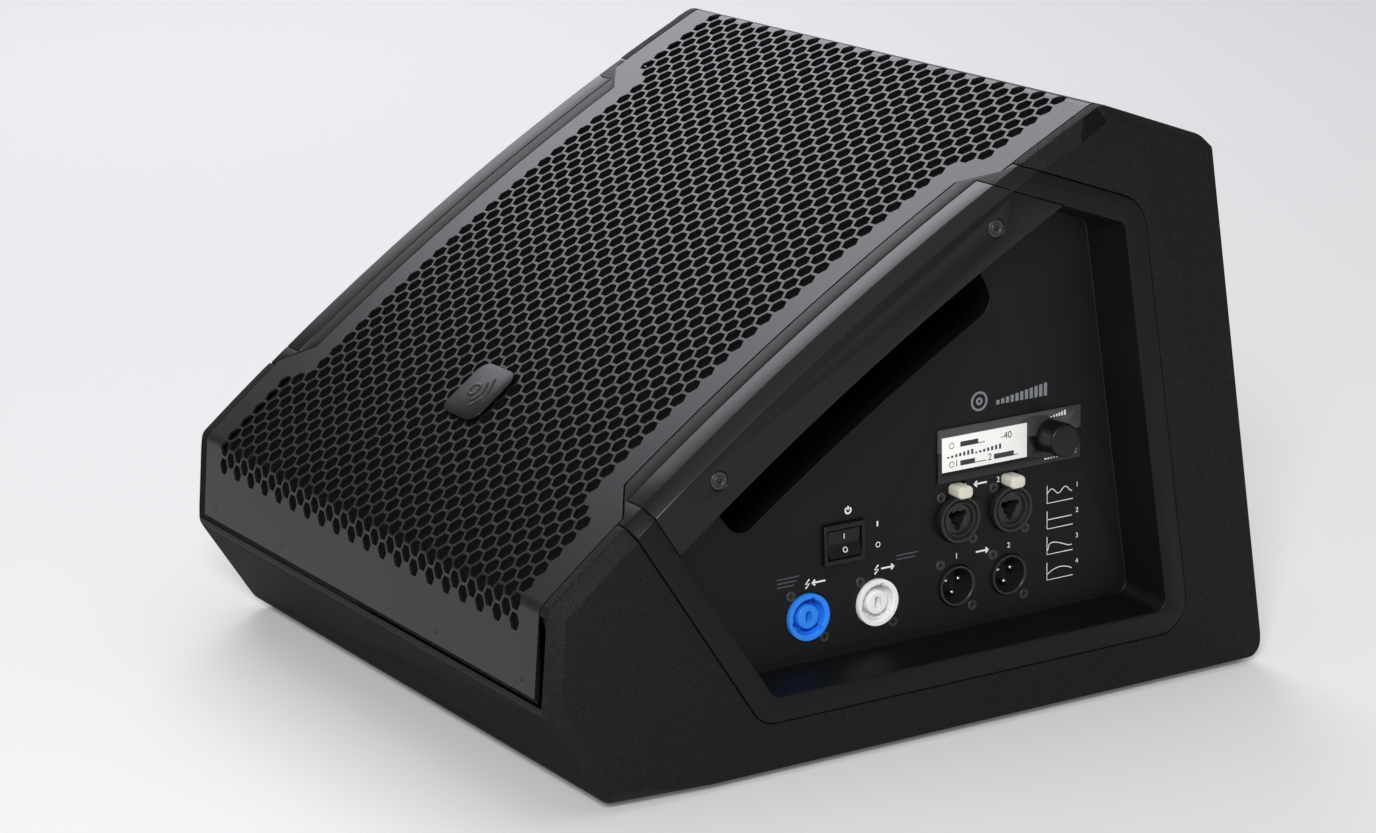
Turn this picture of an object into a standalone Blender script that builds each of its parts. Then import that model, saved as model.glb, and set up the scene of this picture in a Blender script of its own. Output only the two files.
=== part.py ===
"""Powered stage monitor wedge: a coated plywood cabinet with a bowed steel grille, carrying
mouldings let into both sides and a control panel in the right one. Metres, +Z up, front to -Y."""

import math

import bmesh
import bpy
from mathutils import Matrix, Vector

# ---------------------------------------------------------------- driving dimensions
CABINET_WIDTH = 0.3924
BASE_DEPTH = 0.3888
CABINET_HEIGHT = 0.2987
NOSE_OVERHANG = 0.0318
CHIN_HEIGHT = 0.0511
NOSE_HEIGHT = 0.0483
NOSE_SET_BACK = 0.0045
TOP_DEPTH = 0.0630
TOP_DROP = 0.0229
BACK_LEAN = 0.0387
FRONT_BOW = 0.0108
CORNER_R = 0.008
BASE_CORNER_R = 0.009
BOARD = 0.0127
EDGE_CHAMFER_X = 0.0060
EDGE_CHAMFER_IN = 0.0070
TOP_CHAMFER_IN = 0.0045
FOOT_HEIGHT = 0.004
FOOT_R = 0.012
GAP = 0.0003

GRILLE_T = 0.0015
GRILLE_SIDE_GAP = 0.0006
GRILLE_NOSE_DROP = 0.0432
GRILLE_TOP_RETURN = 0.026
GRILLE_SCREW_DROP = 0.0370
REBATE = 0.0023
FOAM_T = 0.0034
BAFFLE_SET = 0.006
BAFFLE_T = 0.015

TRAY_IN_X = 0.0324
TRAY_START = 0.0540
TRAY_TOE = 0.0842
TRAY_LIFT = 0.0236
TRAY_BACK_INSET = 0.0445
TRAY_TOP_INSET = 0.0396
NOTCH_TOE = (0.0030, 0.0190)
NOTCH_TIP = (0.0216, 0.0066)
RIM = 0.0125
RECESS = 0.0278
RECESS_DRAFT = 0.0035
GRIP_BAND = 0.0290
GRIP_SEAM_IN = 0.0212
GRIP_CHAMFER = (0.0080, 0.0056)
GRIP_WALL = 0.0040
GRIP_SCREW_FROM_ENDS = (0.0477, 0.0289)
GRIP_SCREW_DEPTH = 0.0155
POCKET_FROM_ENDS = (0.0460, 0.0337)
POCKET_DEPTH = (0.0358, 0.0645)
POCKET_IN = 0.0434
WALL = 0.003

PANEL_CONNECTOR_R = 0.0118
THRU_R = 0.0103
POWER_IN_AT = (0.1282, 0.0623)
POWER_OUT_AT = (0.1684, 0.0623)
COMBO_AT = ((0.2166, 0.0966), (0.2483, 0.0966))
THRU_AT = ((0.2160, 0.0620), (0.2477, 0.0620))
SWITCH_AT = (0.1492, 0.0961)
SWITCH_SIZE = (0.0240, 0.0205)
ROCKER_TILT = math.radians(8.0)
DISPLAY_AT = (0.2480, 0.1297)
DISPLAY_SIZE = (0.0868, 0.0274)
LCD_AT = (0.2328, 0.1301)
LCD_SIZE = (0.0511, 0.0175)
KNOB_AT = (0.2716, 0.1306)
KNOB_R = 0.0088
KNOB_REACH = 0.0145
KNOB_TRAVEL = 0.0005
TAB_TRAVEL = 0.0015
TAB_HALF = 0.0043
TAB_RISE = 0.0030
TAB_BEVEL = 0.0014
TAB_UP = 0.0030
TAB_PROUD = 0.0078

WOOFER_R = 0.1285
WOOFER_HOLE_R = 0.1170
FLANGE_T = 0.0040
CONE_TRAVEL = 0.004
PORT_R = 0.0220
PORT_WALL = 0.0025
PORT_LENGTH = 0.090
PORT_X = 0.1340
PORT_ALONG = 0.0430

HALF_WIDTH = CABINET_WIDTH / 2
INNER_HALF = HALF_WIDTH - BOARD
GRILLE_HALF = INNER_HALF - GRILLE_SIDE_GAP
GRILLE_SCREW_X = [GRILLE_HALF * share for share in (-0.932, -0.468, 0.468, 0.932)]
TRAY_HALF = HALF_WIDTH - TRAY_IN_X
FLOOR_X = HALF_WIDTH - RECESS
FRONT_STEPS = 12
ROUND_STEPS = 6

# ---------------------------------------------------------------- outline of the cabinet
CORNERS = {
    "toe": Vector((0.0, 0.0)),
    "chin": Vector((-NOSE_OVERHANG, CHIN_HEIGHT)),
    "nose": Vector((-NOSE_OVERHANG + NOSE_SET_BACK, CHIN_HEIGHT + NOSE_HEIGHT)),
    "crest": Vector((BASE_DEPTH - BACK_LEAN - TOP_DEPTH, CABINET_HEIGHT)),
    "brow": Vector((BASE_DEPTH - BACK_LEAN, CABINET_HEIGHT - TOP_DROP)),
    "heel": Vector((BASE_DEPTH, 0.0)),
}
CHORD = CORNERS["crest"] - CORNERS["nose"]
CHORD_DIR = CHORD.normalized()
INWARD = Vector((CHORD_DIR.y, -CHORD_DIR.x))
BOW_R = (CHORD.length_squared / 4 + FRONT_BOW**2) / (2 * FRONT_BOW)
BOW_CENTRE = CORNERS["nose"] + CHORD / 2 + INWARD * (BOW_R - FRONT_BOW)
NOSE_ANGLE = math.atan2(*(CORNERS["nose"] - BOW_CENTRE).yx)
FRONT_LENGTH = BOW_R * 2 * math.asin(CHORD.length / 2 / BOW_R)


def front(along, depth=0.0):
    """A point on the bowed front: along it from the nose, and so far below its surface."""
    angle = NOSE_ANGLE - along / BOW_R
    return BOW_CENTRE + (BOW_R - depth) * Vector((math.cos(angle), math.sin(angle)))


def flat(along, depth):
    """A point measured from the straight chord behind the bowed front."""
    return CORNERS["nose"] + CHORD_DIR * along + INWARD * depth


def front_arc(start, end, depth, steps=FRONT_STEPS):
    return [front(start + (end - start) * i / steps, depth) for i in range(steps + 1)]


def meet(point_a, dir_a, point_b, dir_b):
    """Where two lines cross."""
    cross = dir_a.x * dir_b.y - dir_a.y * dir_b.x
    gap = point_b - point_a
    return point_a + dir_a * ((gap.x * dir_b.y - gap.y * dir_b.x) / cross)


def side_line(start, end, inset):
    """The straight side between two named corners, moved inwards."""
    run = (CORNERS[end] - CORNERS[start]).normalized()
    return CORNERS[start] + Vector((run.y, -run.x)) * inset, run


def meet_front(line, depth, near):
    """Where a line crosses the front at a depth, near a given point."""
    point, run = line
    gap = point - BOW_CENTRE
    half = run.dot(gap)
    root = math.sqrt(half**2 - gap.length_squared + (BOW_R - depth) ** 2)
    hits = [point + run * (-half + root), point + run * (-half - root)]
    return min(hits, key=lambda hit: (hit - near).length)


def along_of(point):
    return (NOSE_ANGLE - math.atan2(*(point - BOW_CENTRE).yx)) * BOW_R


def rounded(before, corner, after, radius, steps=ROUND_STEPS):
    """Points of an arc that rounds one corner of an outline."""
    a = (before - corner).normalized()
    b = (after - corner).normalized()
    half = math.acos(max(-1.0, min(1.0, a.dot(b)))) / 2
    centre = corner + (a + b).normalized() * (radius / math.sin(half))
    reach = radius / math.tan(half)
    first = corner + a * reach - centre
    last = corner + b * reach - centre
    turn = math.atan2(first.x * last.y - first.y * last.x, first.dot(last))
    points = []
    for i in range(steps + 1):
        angle = turn * i / steps
        cos, sin = math.cos(angle), math.sin(angle)
        points.append(centre + Vector((first.x * cos - first.y * sin, first.x * sin + first.y * cos)))
    return points


def cabinet_corners(low=0.0, nose=0.0, face=0.0, top=0.0):
    """The six corners with the chin, nose, face and top moved in; back and underside stay."""
    base = side_line("heel", "toe", 0.0)
    chin = side_line("toe", "chin", low)
    nose_line = side_line("chin", "nose", nose)
    top_line = side_line("crest", "brow", top)
    back = side_line("brow", "heel", 0.0)
    return {
        "toe": meet(*base, *chin),
        "chin": meet(*chin, *nose_line),
        "nose": meet_front(nose_line, face, CORNERS["nose"]),
        "crest": meet_front(top_line, face, CORNERS["crest"]),
        "brow": meet(*top_line, *back),
        "heel": CORNERS["heel"],
    }


def cabinet_outline(low=0.0, nose=0.0, face=0.0, top=0.0):
    """Closed side outline, counted the same whatever the insets, with rounded corners."""
    at = cabinet_corners(low, nose, face, top)
    start = along_of(at["nose"])
    end = along_of(at["crest"])
    near_nose = front(start + CORNER_R, face)
    near_crest = front(end - CORNER_R, face)
    points = rounded(at["heel"], at["toe"], at["chin"], CORNER_R)
    points += rounded(at["toe"], at["chin"], at["nose"], CORNER_R)
    points += rounded(at["chin"], at["nose"], near_nose, CORNER_R)
    points += front_arc(start + CORNER_R, end - CORNER_R, face)
    points += rounded(near_crest, at["crest"], at["brow"], CORNER_R)
    points += rounded(at["crest"], at["brow"], at["heel"], CORNER_R)
    points += rounded(at["brow"], at["heel"], at["toe"], BASE_CORNER_R)
    return points


OUTLINE = cabinet_outline()
Y_MIDDLE = (min(p.x for p in OUTLINE) + max(p.x for p in OUTLINE)) / 2


def world(x, point):
    """Side-view point to world: centred front to back, standing on the feet."""
    return Vector((x, point.x - Y_MIDDLE, point.y + FOOT_HEIGHT))


def panel_point(at, x=FLOOR_X):
    return world(x, Vector(at))


# ---------------------------------------------------------------- building blocks
def clear_scene():
    for obj in list(bpy.data.objects):
        bpy.data.objects.remove(obj)


def material(name, colour, roughness, metallic=0.0):
    made = bpy.data.materials.get(name)
    if made is None:
        made = bpy.data.materials.new(name)
        made.use_nodes = True
        shader = made.node_tree.nodes["Principled BSDF"]
        shader.inputs["Base Color"].default_value = (*colour, 1.0)
        shader.inputs["Roughness"].default_value = roughness
        shader.inputs["Metallic"].default_value = metallic
    return made


def coating():
    return material("speckled_coating", (0.014, 0.014, 0.015), 0.75)


def black_plastic():
    return material("black_plastic", (0.016, 0.016, 0.017), 0.45)


def powder_black():
    return material("black_powder_coat", (0.03, 0.03, 0.033), 0.4, 0.2)


def bright_steel():
    return material("bright_steel", (0.6, 0.6, 0.6), 0.3, 1.0)


def dark_steel():
    return material("dark_screw", (0.05, 0.05, 0.052), 0.35, 0.9)


def white_plastic():
    return material("white_plastic", (0.75, 0.75, 0.74), 0.4)


def black_rubber():
    return material("rubber", (0.02, 0.02, 0.02), 0.85)


def add_object(name, bm, finish, smooth_angle=None):
    bmesh.ops.recalc_face_normals(bm, faces=bm.faces)
    mesh = bpy.data.meshes.new(name)
    bm.to_mesh(mesh)
    bm.free()
    mesh.materials.append(finish)
    if smooth_angle is not None:
        mesh.shade_smooth()
        mesh.set_sharp_from_angle(angle=math.radians(smooth_angle))
    obj = bpy.data.objects.new(name, mesh)
    bpy.context.scene.collection.objects.link(obj)
    return obj


def loft(name, sections, finish, smooth_angle=None):
    """Skin over matching loops of world points, closed with a face at each end."""
    bm = bmesh.new()
    rings = [[bm.verts.new(point) for point in section] for section in sections]
    for low, high in zip(rings, rings[1:]):
        for i, vert in enumerate(low):
            after = (i + 1) % len(low)
            bm.faces.new((vert, low[after], high[after], high[i]))
    bm.faces.new(rings[0])
    bm.faces.new(reversed(rings[-1]))
    return add_object(name, bm, finish, smooth_angle)


def slab(name, outline, x_low, x_high, finish, smooth_angle=None):
    """A side-view outline given thickness along X."""
    sections = [[world(x, point) for point in outline] for x in (x_low, x_high)]
    return loft(name, sections, finish, smooth_angle)


def flat_prism(name, outline, depths, finish, smooth_angle=None):
    """An outline of (x, along) points on the baffle plane, given thickness inwards."""
    sections = [[world(x, flat(along, depth)) for x, along in outline] for depth in depths]
    return loft(name, sections, finish, smooth_angle)


def turned(name, profile, place, finish, steps=32, smooth_angle=35.0):
    """A closed (radius, height) profile spun round local Z, then placed by a matrix."""
    bm = bmesh.new()
    verts = [bm.verts.new((radius, 0.0, height)) for radius, height in profile]
    edges = [bm.edges.new((a, b)) for a, b in zip(verts, verts[1:])]
    if profile[0][0] > 0.0 and profile[-1][0] > 0.0:
        edges.append(bm.edges.new((verts[-1], verts[0])))
    bmesh.ops.spin(
        bm,
        geom=verts + edges,
        axis=(0, 0, 1),
        cent=(0, 0, 0),
        steps=steps,
        angle=2 * math.pi,
        use_merge=True,
    )
    bmesh.ops.remove_doubles(bm, verts=bm.verts, dist=1e-6)
    bmesh.ops.transform(bm, matrix=place, verts=bm.verts)
    return add_object(name, bm, finish, smooth_angle)


def disc(name, radius, low, high, place, finish, steps=32):
    return turned(name, [(0.0, low), (radius, low), (radius, high), (0.0, high)], place, finish, steps)


def block(name, size, place, finish, bevel=0.0):
    bm = bmesh.new()
    bmesh.ops.create_cube(bm, size=1.0)
    bmesh.ops.scale(bm, vec=size, verts=bm.verts)
    if bevel:
        bmesh.ops.bevel(bm, geom=bm.edges, offset=bevel, segments=2, affect="EDGES", profile=0.5)
    bmesh.ops.transform(bm, matrix=place, verts=bm.verts)
    return add_object(name, bm, finish)


def hide_helper(obj):
    obj.hide_render = True
    obj.display_type = "WIRE"


def boolean(obj, helper, operation="DIFFERENCE"):
    hide_helper(helper)
    modifier = obj.modifiers.new(helper.name, "BOOLEAN")
    modifier.operation = operation
    modifier.object = helper
    return obj


def facing(origin, direction):
    """Matrix that stands local +Z along a direction at a point."""
    turn = Vector(direction).to_track_quat("Z", "Y").to_matrix().to_4x4()
    return Matrix.Translation(origin) @ turn


def out_of_panel(at, x=FLOOR_X):
    """Local +X runs to the back, +Y up and +Z out of the control panel."""
    axes = Matrix(((0, 0, 1, 0), (1, 0, 0, 0), (0, 1, 0, 0), (0, 0, 0, 1)))
    return Matrix.Translation(panel_point(at, x)) @ axes


def hinge_empty(name, location):
    """Marks a joint's axis, and carries the pieces that move on it."""
    empty = bpy.data.objects.new(name, None)
    empty.location = location
    empty.empty_display_size = 0.02
    bpy.context.scene.collection.objects.link(empty)
    return empty


def carry(empty, *pieces):
    for piece in pieces:
        piece.parent = empty
        piece.matrix_parent_inverse = Matrix.Translation(empty.location).inverted()


# ---------------------------------------------------------------- tray outlines
def tray_lines(inset):
    """Toe-side, underside, back and top lines of a side moulding, moved in together."""
    toe = Vector((TRAY_TOE, TRAY_LIFT))
    run = (toe - front(TRAY_START)).normalized()
    return {
        "toe": (toe + Vector((-run.y, run.x)) * inset, run),
        "base": (Vector((0.0, TRAY_LIFT + inset)), Vector((1.0, 0.0))),
        "back": side_line("brow", "heel", TRAY_BACK_INSET + inset),
        "top": side_line("crest", "brow", TRAY_TOP_INSET + inset),
    }


def tray_outline(inset, depth, radii):
    """Outline of the moulding, or of its recess, closed along the front at a depth."""
    lines = tray_lines(inset)
    toe = meet(*lines["toe"], *lines["base"])
    heel = meet(*lines["base"], *lines["back"])
    brow = meet(*lines["back"], *lines["top"])
    low = meet_front(lines["toe"], depth, front(TRAY_START))
    high = meet_front(lines["top"], depth, front(FRONT_LENGTH))
    points = rounded(low, toe, heel, radii[0])
    points += rounded(toe, heel, brow, radii[1])
    points += rounded(heel, brow, high, radii[2])
    return points + front_arc(along_of(high), along_of(low), depth)


TRAY_END = along_of(meet_front(tray_lines(0.0)["top"], 0.0, front(FRONT_LENGTH)))
NOTCH_LOW = tuple(TRAY_START + step for step in NOTCH_TOE)
NOTCH_HIGH = tuple(TRAY_END - step for step in NOTCH_TIP)
GRIP_SCREW_ALONG = (TRAY_START + GRIP_SCREW_FROM_ENDS[0], TRAY_END - GRIP_SCREW_FROM_ENDS[1])
POCKET_ALONG = (TRAY_START + POCKET_FROM_ENDS[0], TRAY_END - POCKET_FROM_ENDS[1])


def grip_ends(clearance):
    """Where the grip cover starts and stops along the front surface, and at its lower edge."""
    lines = tray_lines(RIM - clearance)
    ends = []
    for depth in (0.0, GRIP_BAND):
        low = meet_front(lines["toe"], depth, front(TRAY_START))
        high = meet_front(lines["top"], depth, front(FRONT_LENGTH))
        ends.append((along_of(low), along_of(high)))
    return ends


def grip_outline(shallow, deep, clearance):
    """Side outline of the grip band between two depths, between the moulding's rim lines."""
    (start_a, end_a), (start_b, end_b) = grip_ends(clearance)
    share = [(depth / GRIP_BAND) for depth in (shallow, deep)]
    starts = [start_a + (start_b - start_a) * s for s in share]
    ends = [end_a + (end_b - end_a) * s for s in share]
    upper = front_arc(starts[0], ends[0], shallow)
    lower = front_arc(ends[1], starts[1], deep)
    return upper + lower


def notch_outline(side, grow):
    """The side notch that the moulding takes out of the grille and baffle, as (x, along)."""
    inner = TRAY_HALF - grow
    outer = HALF_WIDTH + 0.01
    low, low_end = NOTCH_LOW
    high_start, high = NOTCH_HIGH
    lean = (low_end - low) / (INNER_HALF - TRAY_HALF)
    reach = (outer - inner) * lean
    points = [
        (inner, low_end - grow),
        (outer, low_end - grow - reach),
        (outer, high_start + grow + reach),
        (inner, high_start + grow),
    ]
    return [(side * x, along) for x, along in points]


# ---------------------------------------------------------------- cabinet boards
def side_panel(name, side):
    """One plywood side, chamfered round its front and top edges, cut out for the moulding."""
    full = cabinet_outline()
    small = cabinet_outline(EDGE_CHAMFER_IN, EDGE_CHAMFER_IN, EDGE_CHAMFER_IN, TOP_CHAMFER_IN)
    sections = [
        [world(side * INNER_HALF, p) for p in full],
        [world(side * (HALF_WIDTH - EDGE_CHAMFER_X), p) for p in full],
        [world(side * HALF_WIDTH, p) for p in small],
    ]
    panel = loft(name, sections, coating())
    hole = tray_outline(-GAP, -0.02, (0.014, 0.016, 0.020))
    cutter = slab(
        name + "_opening", hole, side * (INNER_HALF - 0.01), side * (HALF_WIDTH + 0.01), coating()
    )
    return boolean(panel, cutter)


def board(name, outer, inner):
    """A board between the sides, from its outer and inner edge points in the side view."""
    half = INNER_HALF - GAP
    return slab(name, outer + inner, -half, half, coating())


def shift(points, run, distance):
    return [point + run * distance for point in points]


def boards():
    c = CORNERS
    inner_base = side_line("heel", "toe", BOARD)
    inner_chin = side_line("toe", "chin", BOARD)
    inner_nose = side_line("chin", "nose", REBATE + BOARD)
    inner_top = side_line("crest", "brow", BOARD)
    inner_back = side_line("brow", "heel", BOARD)
    half = ROUND_STEPS // 2
    toe = rounded(c["heel"], c["toe"], c["chin"], CORNER_R)
    heel = rounded(c["brow"], c["heel"], c["toe"], BASE_CORNER_R)
    brow = rounded(c["crest"], c["brow"], c["heel"], CORNER_R)

    base_run = Vector((-1.0, 0.0))
    board(
        "bottom_panel",
        shift(heel[half:], base_run, GAP) + shift(toe[: half + 1], base_run, -GAP),
        [
            meet(*inner_base, *inner_chin) - base_run * GAP,
            meet(*inner_base, *inner_back) + base_run * GAP,
        ],
    )

    chin_run = (c["chin"] - c["toe"]).normalized()
    nose_run = (c["nose"] - c["chin"]).normalized()
    lip = c["nose"] - nose_run * (GRILLE_NOSE_DROP + GAP)
    lip_in = meet(lip, Vector((nose_run.y, -nose_run.x)), *inner_nose)
    board(
        "chin_panel",
        shift(toe[half:], chin_run, GAP) + rounded(c["toe"], c["chin"], c["nose"], CORNER_R) + [
            lip, lip_in
        ],
        [meet(*inner_chin, *inner_nose), meet(*inner_chin, *inner_base) + chin_run * GAP],
    )

    rebated = side_line("chin", "nose", REBATE)
    nose_foot = lip + nose_run * GAP
    foot_run = Vector((nose_run.y, -nose_run.x))
    deck = (flat(0.0, BAFFLE_SET), CHORD_DIR)
    board(
        "nose_panel",
        [meet(nose_foot, foot_run, *rebated), meet(*deck, *rebated)],
        [meet(*deck, *inner_nose), meet(nose_foot, foot_run, *inner_nose)],
    )

    top_run = (c["brow"] - c["crest"]).normalized()
    step = c["crest"] + top_run * (GRILLE_TOP_RETURN + GAP)
    down = Vector((top_run.y, -top_run.x))
    top_front = meet(*deck, *side_line("crest", "brow", REBATE))
    top_under = meet(*deck, *inner_top)
    board(
        "top_panel",
        [top_front, step + down * REBATE, step] + shift(brow[: half + 1], top_run, -GAP),
        [meet(*inner_top, *inner_back) - top_run * GAP, top_under],
    )

    back_run = (c["heel"] - c["brow"]).normalized()
    board(
        "back_panel",
        shift(brow[half:], back_run, GAP) + shift(heel[: half + 1], back_run, -GAP),
        [
            meet(*inner_back, *inner_base) - back_run * GAP,
            meet(*inner_back, *inner_top) + back_run * GAP,
        ],
    )


def baffle_board():
    """Flat plywood baffle behind the bowed grille, notched at the sides for the mouldings."""
    nose_inside = side_line("chin", "nose", REBATE + BOARD + GAP)
    top_inside = side_line("crest", "brow", BOARD + GAP)
    outline = []
    for depth, ends in (
        (BAFFLE_SET, (nose_inside, top_inside)), (BAFFLE_SET + BAFFLE_T, (top_inside, nose_inside))
    ):
        for line in ends:
            outline.append(meet(flat(0.0, depth), CHORD_DIR, *line))
    half = INNER_HALF - GAP
    deck = slab("baffle_board", outline, -half, half, coating())
    for side, word in ((1, "right"), (-1, "left")):
        depths = (-0.03, 0.05)
        boolean(deck, flat_prism(word + "_baffle_notch", notch_outline(side, GAP), depths, coating()))
    seat = woofer_frame()
    hole = disc("woofer_hole", WOOFER_HOLE_R + 2 * GAP, -0.05, 0.05, seat, coating(), 40)
    rebate = disc("woofer_rebate", WOOFER_R + 2 * GAP, -0.05, FLANGE_T + GAP, seat, coating(), 40)
    boolean(deck, hole)
    boolean(deck, rebate)
    for side, word in ((1, "right"), (-1, "left")):
        bore = disc(
            word + "_port_hole",
            PORT_R + PORT_WALL + GAP,
            -0.05,
            0.05,
            port_frame(side),
            coating(),
            32,
        )
        boolean(deck, bore)


# ---------------------------------------------------------------- grille
def grille_path(inset):
    """The bent sheet's path at a depth below the cabinet's faces, nose end first."""
    nose_line = side_line("chin", "nose", inset)
    top_line = side_line("crest", "brow", inset)
    nose = meet_front(nose_line, inset, CORNERS["nose"])
    crest = meet_front(top_line, inset, CORNERS["crest"])
    nose_run, top_run = nose_line[1], top_line[1]
    foot = CORNERS["nose"] - nose_run * GRILLE_NOSE_DROP + Vector((nose_run.y, -nose_run.x)) * inset
    tip = CORNERS["crest"] + top_run * GRILLE_TOP_RETURN + Vector((top_run.y, -top_run.x)) * inset
    start, end = along_of(nose), along_of(crest)
    radius = CORNER_R - inset
    path = [foot] + rounded(foot, nose, front(start + CORNER_R, inset), radius)
    path += front_arc(start + CORNER_R, end - CORNER_R, inset)
    return path + rounded(front(end - CORNER_R, inset), crest, tip, radius) + [tip]


def grille():
    outline = grille_path(0.0) + grille_path(GRILLE_T)[::-1]
    sheet = slab("grille", outline, -GRILLE_HALF, GRILLE_HALF, powder_black())
    for side, word in ((1, "right"), (-1, "left")):
        notch = notch_outline(side, GRILLE_SIDE_GAP)
        boolean(sheet, flat_prism(word + "_grille_notch", notch, (-0.03, 0.03), coating()))
    for number, x in enumerate(GRILLE_SCREW_X, 1):
        grille_screw(number, x, sheet)


def grille_screw(number, x, sheet):
    """Countersunk screw through the sheet's lower flange into the nose board."""
    name = f"grille_screw_{number}"
    nose_run = (CORNERS["nose"] - CORNERS["chin"]).normalized()
    at = CORNERS["nose"] - nose_run * GRILLE_SCREW_DROP
    place = facing(world(x, at), (0.0, -nose_run.y, nose_run.x))
    head = [
        (0.0, -0.0104),
        (0.0014, -0.0100),
        (0.0014, -0.0018),
        (0.0028, -0.0003),
        (0.0028, 0.0),
        (0.0, 0.0),
    ]
    turned(name, head, place, dark_steel(), 14)
    bore = [
        (0.0, -0.0112),
        (0.0018, -0.0112),
        (0.0018, -0.0020),
        (0.0031, -0.0006),
        (0.0031, 0.01),
        (0.0, 0.01),
    ]
    for target in (sheet, bpy.data.objects["nose_panel"]):
        boolean(target, turned(f"{name}_bore_{target.name}", bore, place, dark_steel(), 14))


def grille_foam():
    """Thin open-cell foam sheet laid behind the grille, inside its side margins."""
    shallow = GRILLE_T + GAP
    half = TRAY_HALF - 2 * GAP
    outline = front_arc(0.010, FRONT_LENGTH - 0.010, shallow)
    outline += front_arc(FRONT_LENGTH - 0.010, 0.010, shallow + FOAM_T)
    slab("grille_foam", outline, -half, half, material("foam", (0.008, 0.008, 0.008), 0.95))


def badge():
    """Rounded-square metal plate riveted to the grille."""
    size, radius, thickness = 0.0340, 0.007, 0.0020
    across, along = 0.003, 0.0865
    corner = size / 2 - radius
    outline = []
    for quarter in range(4):
        centre = Vector((corner, corner)) @ Matrix.Rotation(-quarter * math.pi / 2, 2)
        for i in range(6):
            angle = quarter * math.pi / 2 + i * math.pi / 10
            outline.append(centre + radius * Vector((math.cos(angle), math.sin(angle))))
    middle = front(along)
    normal = (middle - BOW_CENTRE).normalized()
    tangent = Vector((-normal.y, normal.x)) * -1
    sections = []
    for lift in (2 * GAP, thickness):
        loop = [middle + tangent * p.y + normal * lift for p in outline]
        sections.append([world(across + p.x, q) for p, q in zip(outline, loop)])
    loft("grille_badge", sections, material("badge_metal", (0.12, 0.12, 0.12), 0.3, 0.9))


# ---------------------------------------------------------------- side mouldings
def grip_cutters(word, side):
    """Cuts in the moulding that seat the L-shaped grip cover."""
    seam = HALF_WIDTH - GRIP_SEAM_IN
    face = grip_outline(-0.02, GRIP_WALL + GAP, GAP)
    cheek = grip_outline(-0.02, GRIP_BAND + GAP, GAP)
    outer = side * (HALF_WIDTH + 0.01)
    return (
        slab(word + "_grip_seat_face", face, side * (seam - GAP), outer, black_plastic()),
        slab(
            word + "_grip_seat_cheek",
            cheek,
            side * (HALF_WIDTH - GRIP_WALL - GAP),
            outer,
            black_plastic(),
        ),
    )


def pocket_outline(grow):
    """Finger pocket: a bowed slot with rounded ends, as a side outline."""
    start, end = POCKET_ALONG[0] - grow, POCKET_ALONG[1] + grow
    shallow, deep = POCKET_DEPTH[0] - grow, POCKET_DEPTH[1] + grow
    radius = 0.010
    low = front(start, deep)
    high = front(end, deep)
    points = front_arc(start, end, shallow, 10)
    points += rounded(front(end, shallow), high, front(end - 0.02, deep), radius)
    points += front_arc(end - 0.02, start + 0.02, deep, 8)
    return points + rounded(front(start + 0.02, deep), low, front(start, shallow), radius)


def edge_chamfer(word, side):
    """Prism that takes the sharp front edge off a moulding and its cover."""
    bevel_x, bevel_in = GRIP_CHAMFER
    ends = (TRAY_START - 0.02, FRONT_LENGTH)
    over = 0.01
    inner_line = front_arc(*ends, -0.0005)
    outer_line = front_arc(*ends, bevel_in + bevel_in / bevel_x * over)
    bm = bmesh.new()
    rings = []
    for surface, low in zip(inner_line, outer_line):
        lifted = surface + (surface - low).normalized() * 0.02
        rings.append(
            [
                bm.verts.new(world(side * (HALF_WIDTH - bevel_x), surface)),
                bm.verts.new(world(side * (HALF_WIDTH + over), low)),
                bm.verts.new(world(side * (HALF_WIDTH + over), lifted)),
                bm.verts.new(world(side * (HALF_WIDTH - bevel_x), lifted)),
            ]
        )
    for a, b in zip(rings, rings[1:]):
        for i in range(4):
            bm.faces.new((a[i], a[(i + 1) % 4], b[(i + 1) % 4], b[i]))
    bm.faces.new(rings[0])
    bm.faces.new(reversed(rings[-1]))
    return add_object(word + "_edge_chamfer", bm, black_plastic())


def end_wedge(word, side, low_end):
    """Trims the moulding's front corner to the slanted end of the grille's notch."""
    lean = (NOTCH_LOW[1] - NOTCH_LOW[0]) / (INNER_HALF - TRAY_HALF)
    rise = (INNER_HALF - TRAY_HALF) * lean
    if low_end:
        near, far = NOTCH_LOW[1], NOTCH_LOW[1] - 0.05
        tip = near - rise
    else:
        near, far = NOTCH_HIGH[0], NOTCH_HIGH[0] + 0.06
        tip = near + rise
    points = [
        (TRAY_HALF - 0.01, near),
        (TRAY_HALF, near),
        (INNER_HALF, tip),
        (INNER_HALF, far),
        (TRAY_HALF - 0.01, far),
    ]
    outline = [(side * x, along) for x, along in points]
    name = f"{word}_{'low' if low_end else 'high'}_wedge"
    return flat_prism(name, outline, (-0.03, BAFFLE_SET + BAFFLE_T + GAP), black_plastic())


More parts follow.
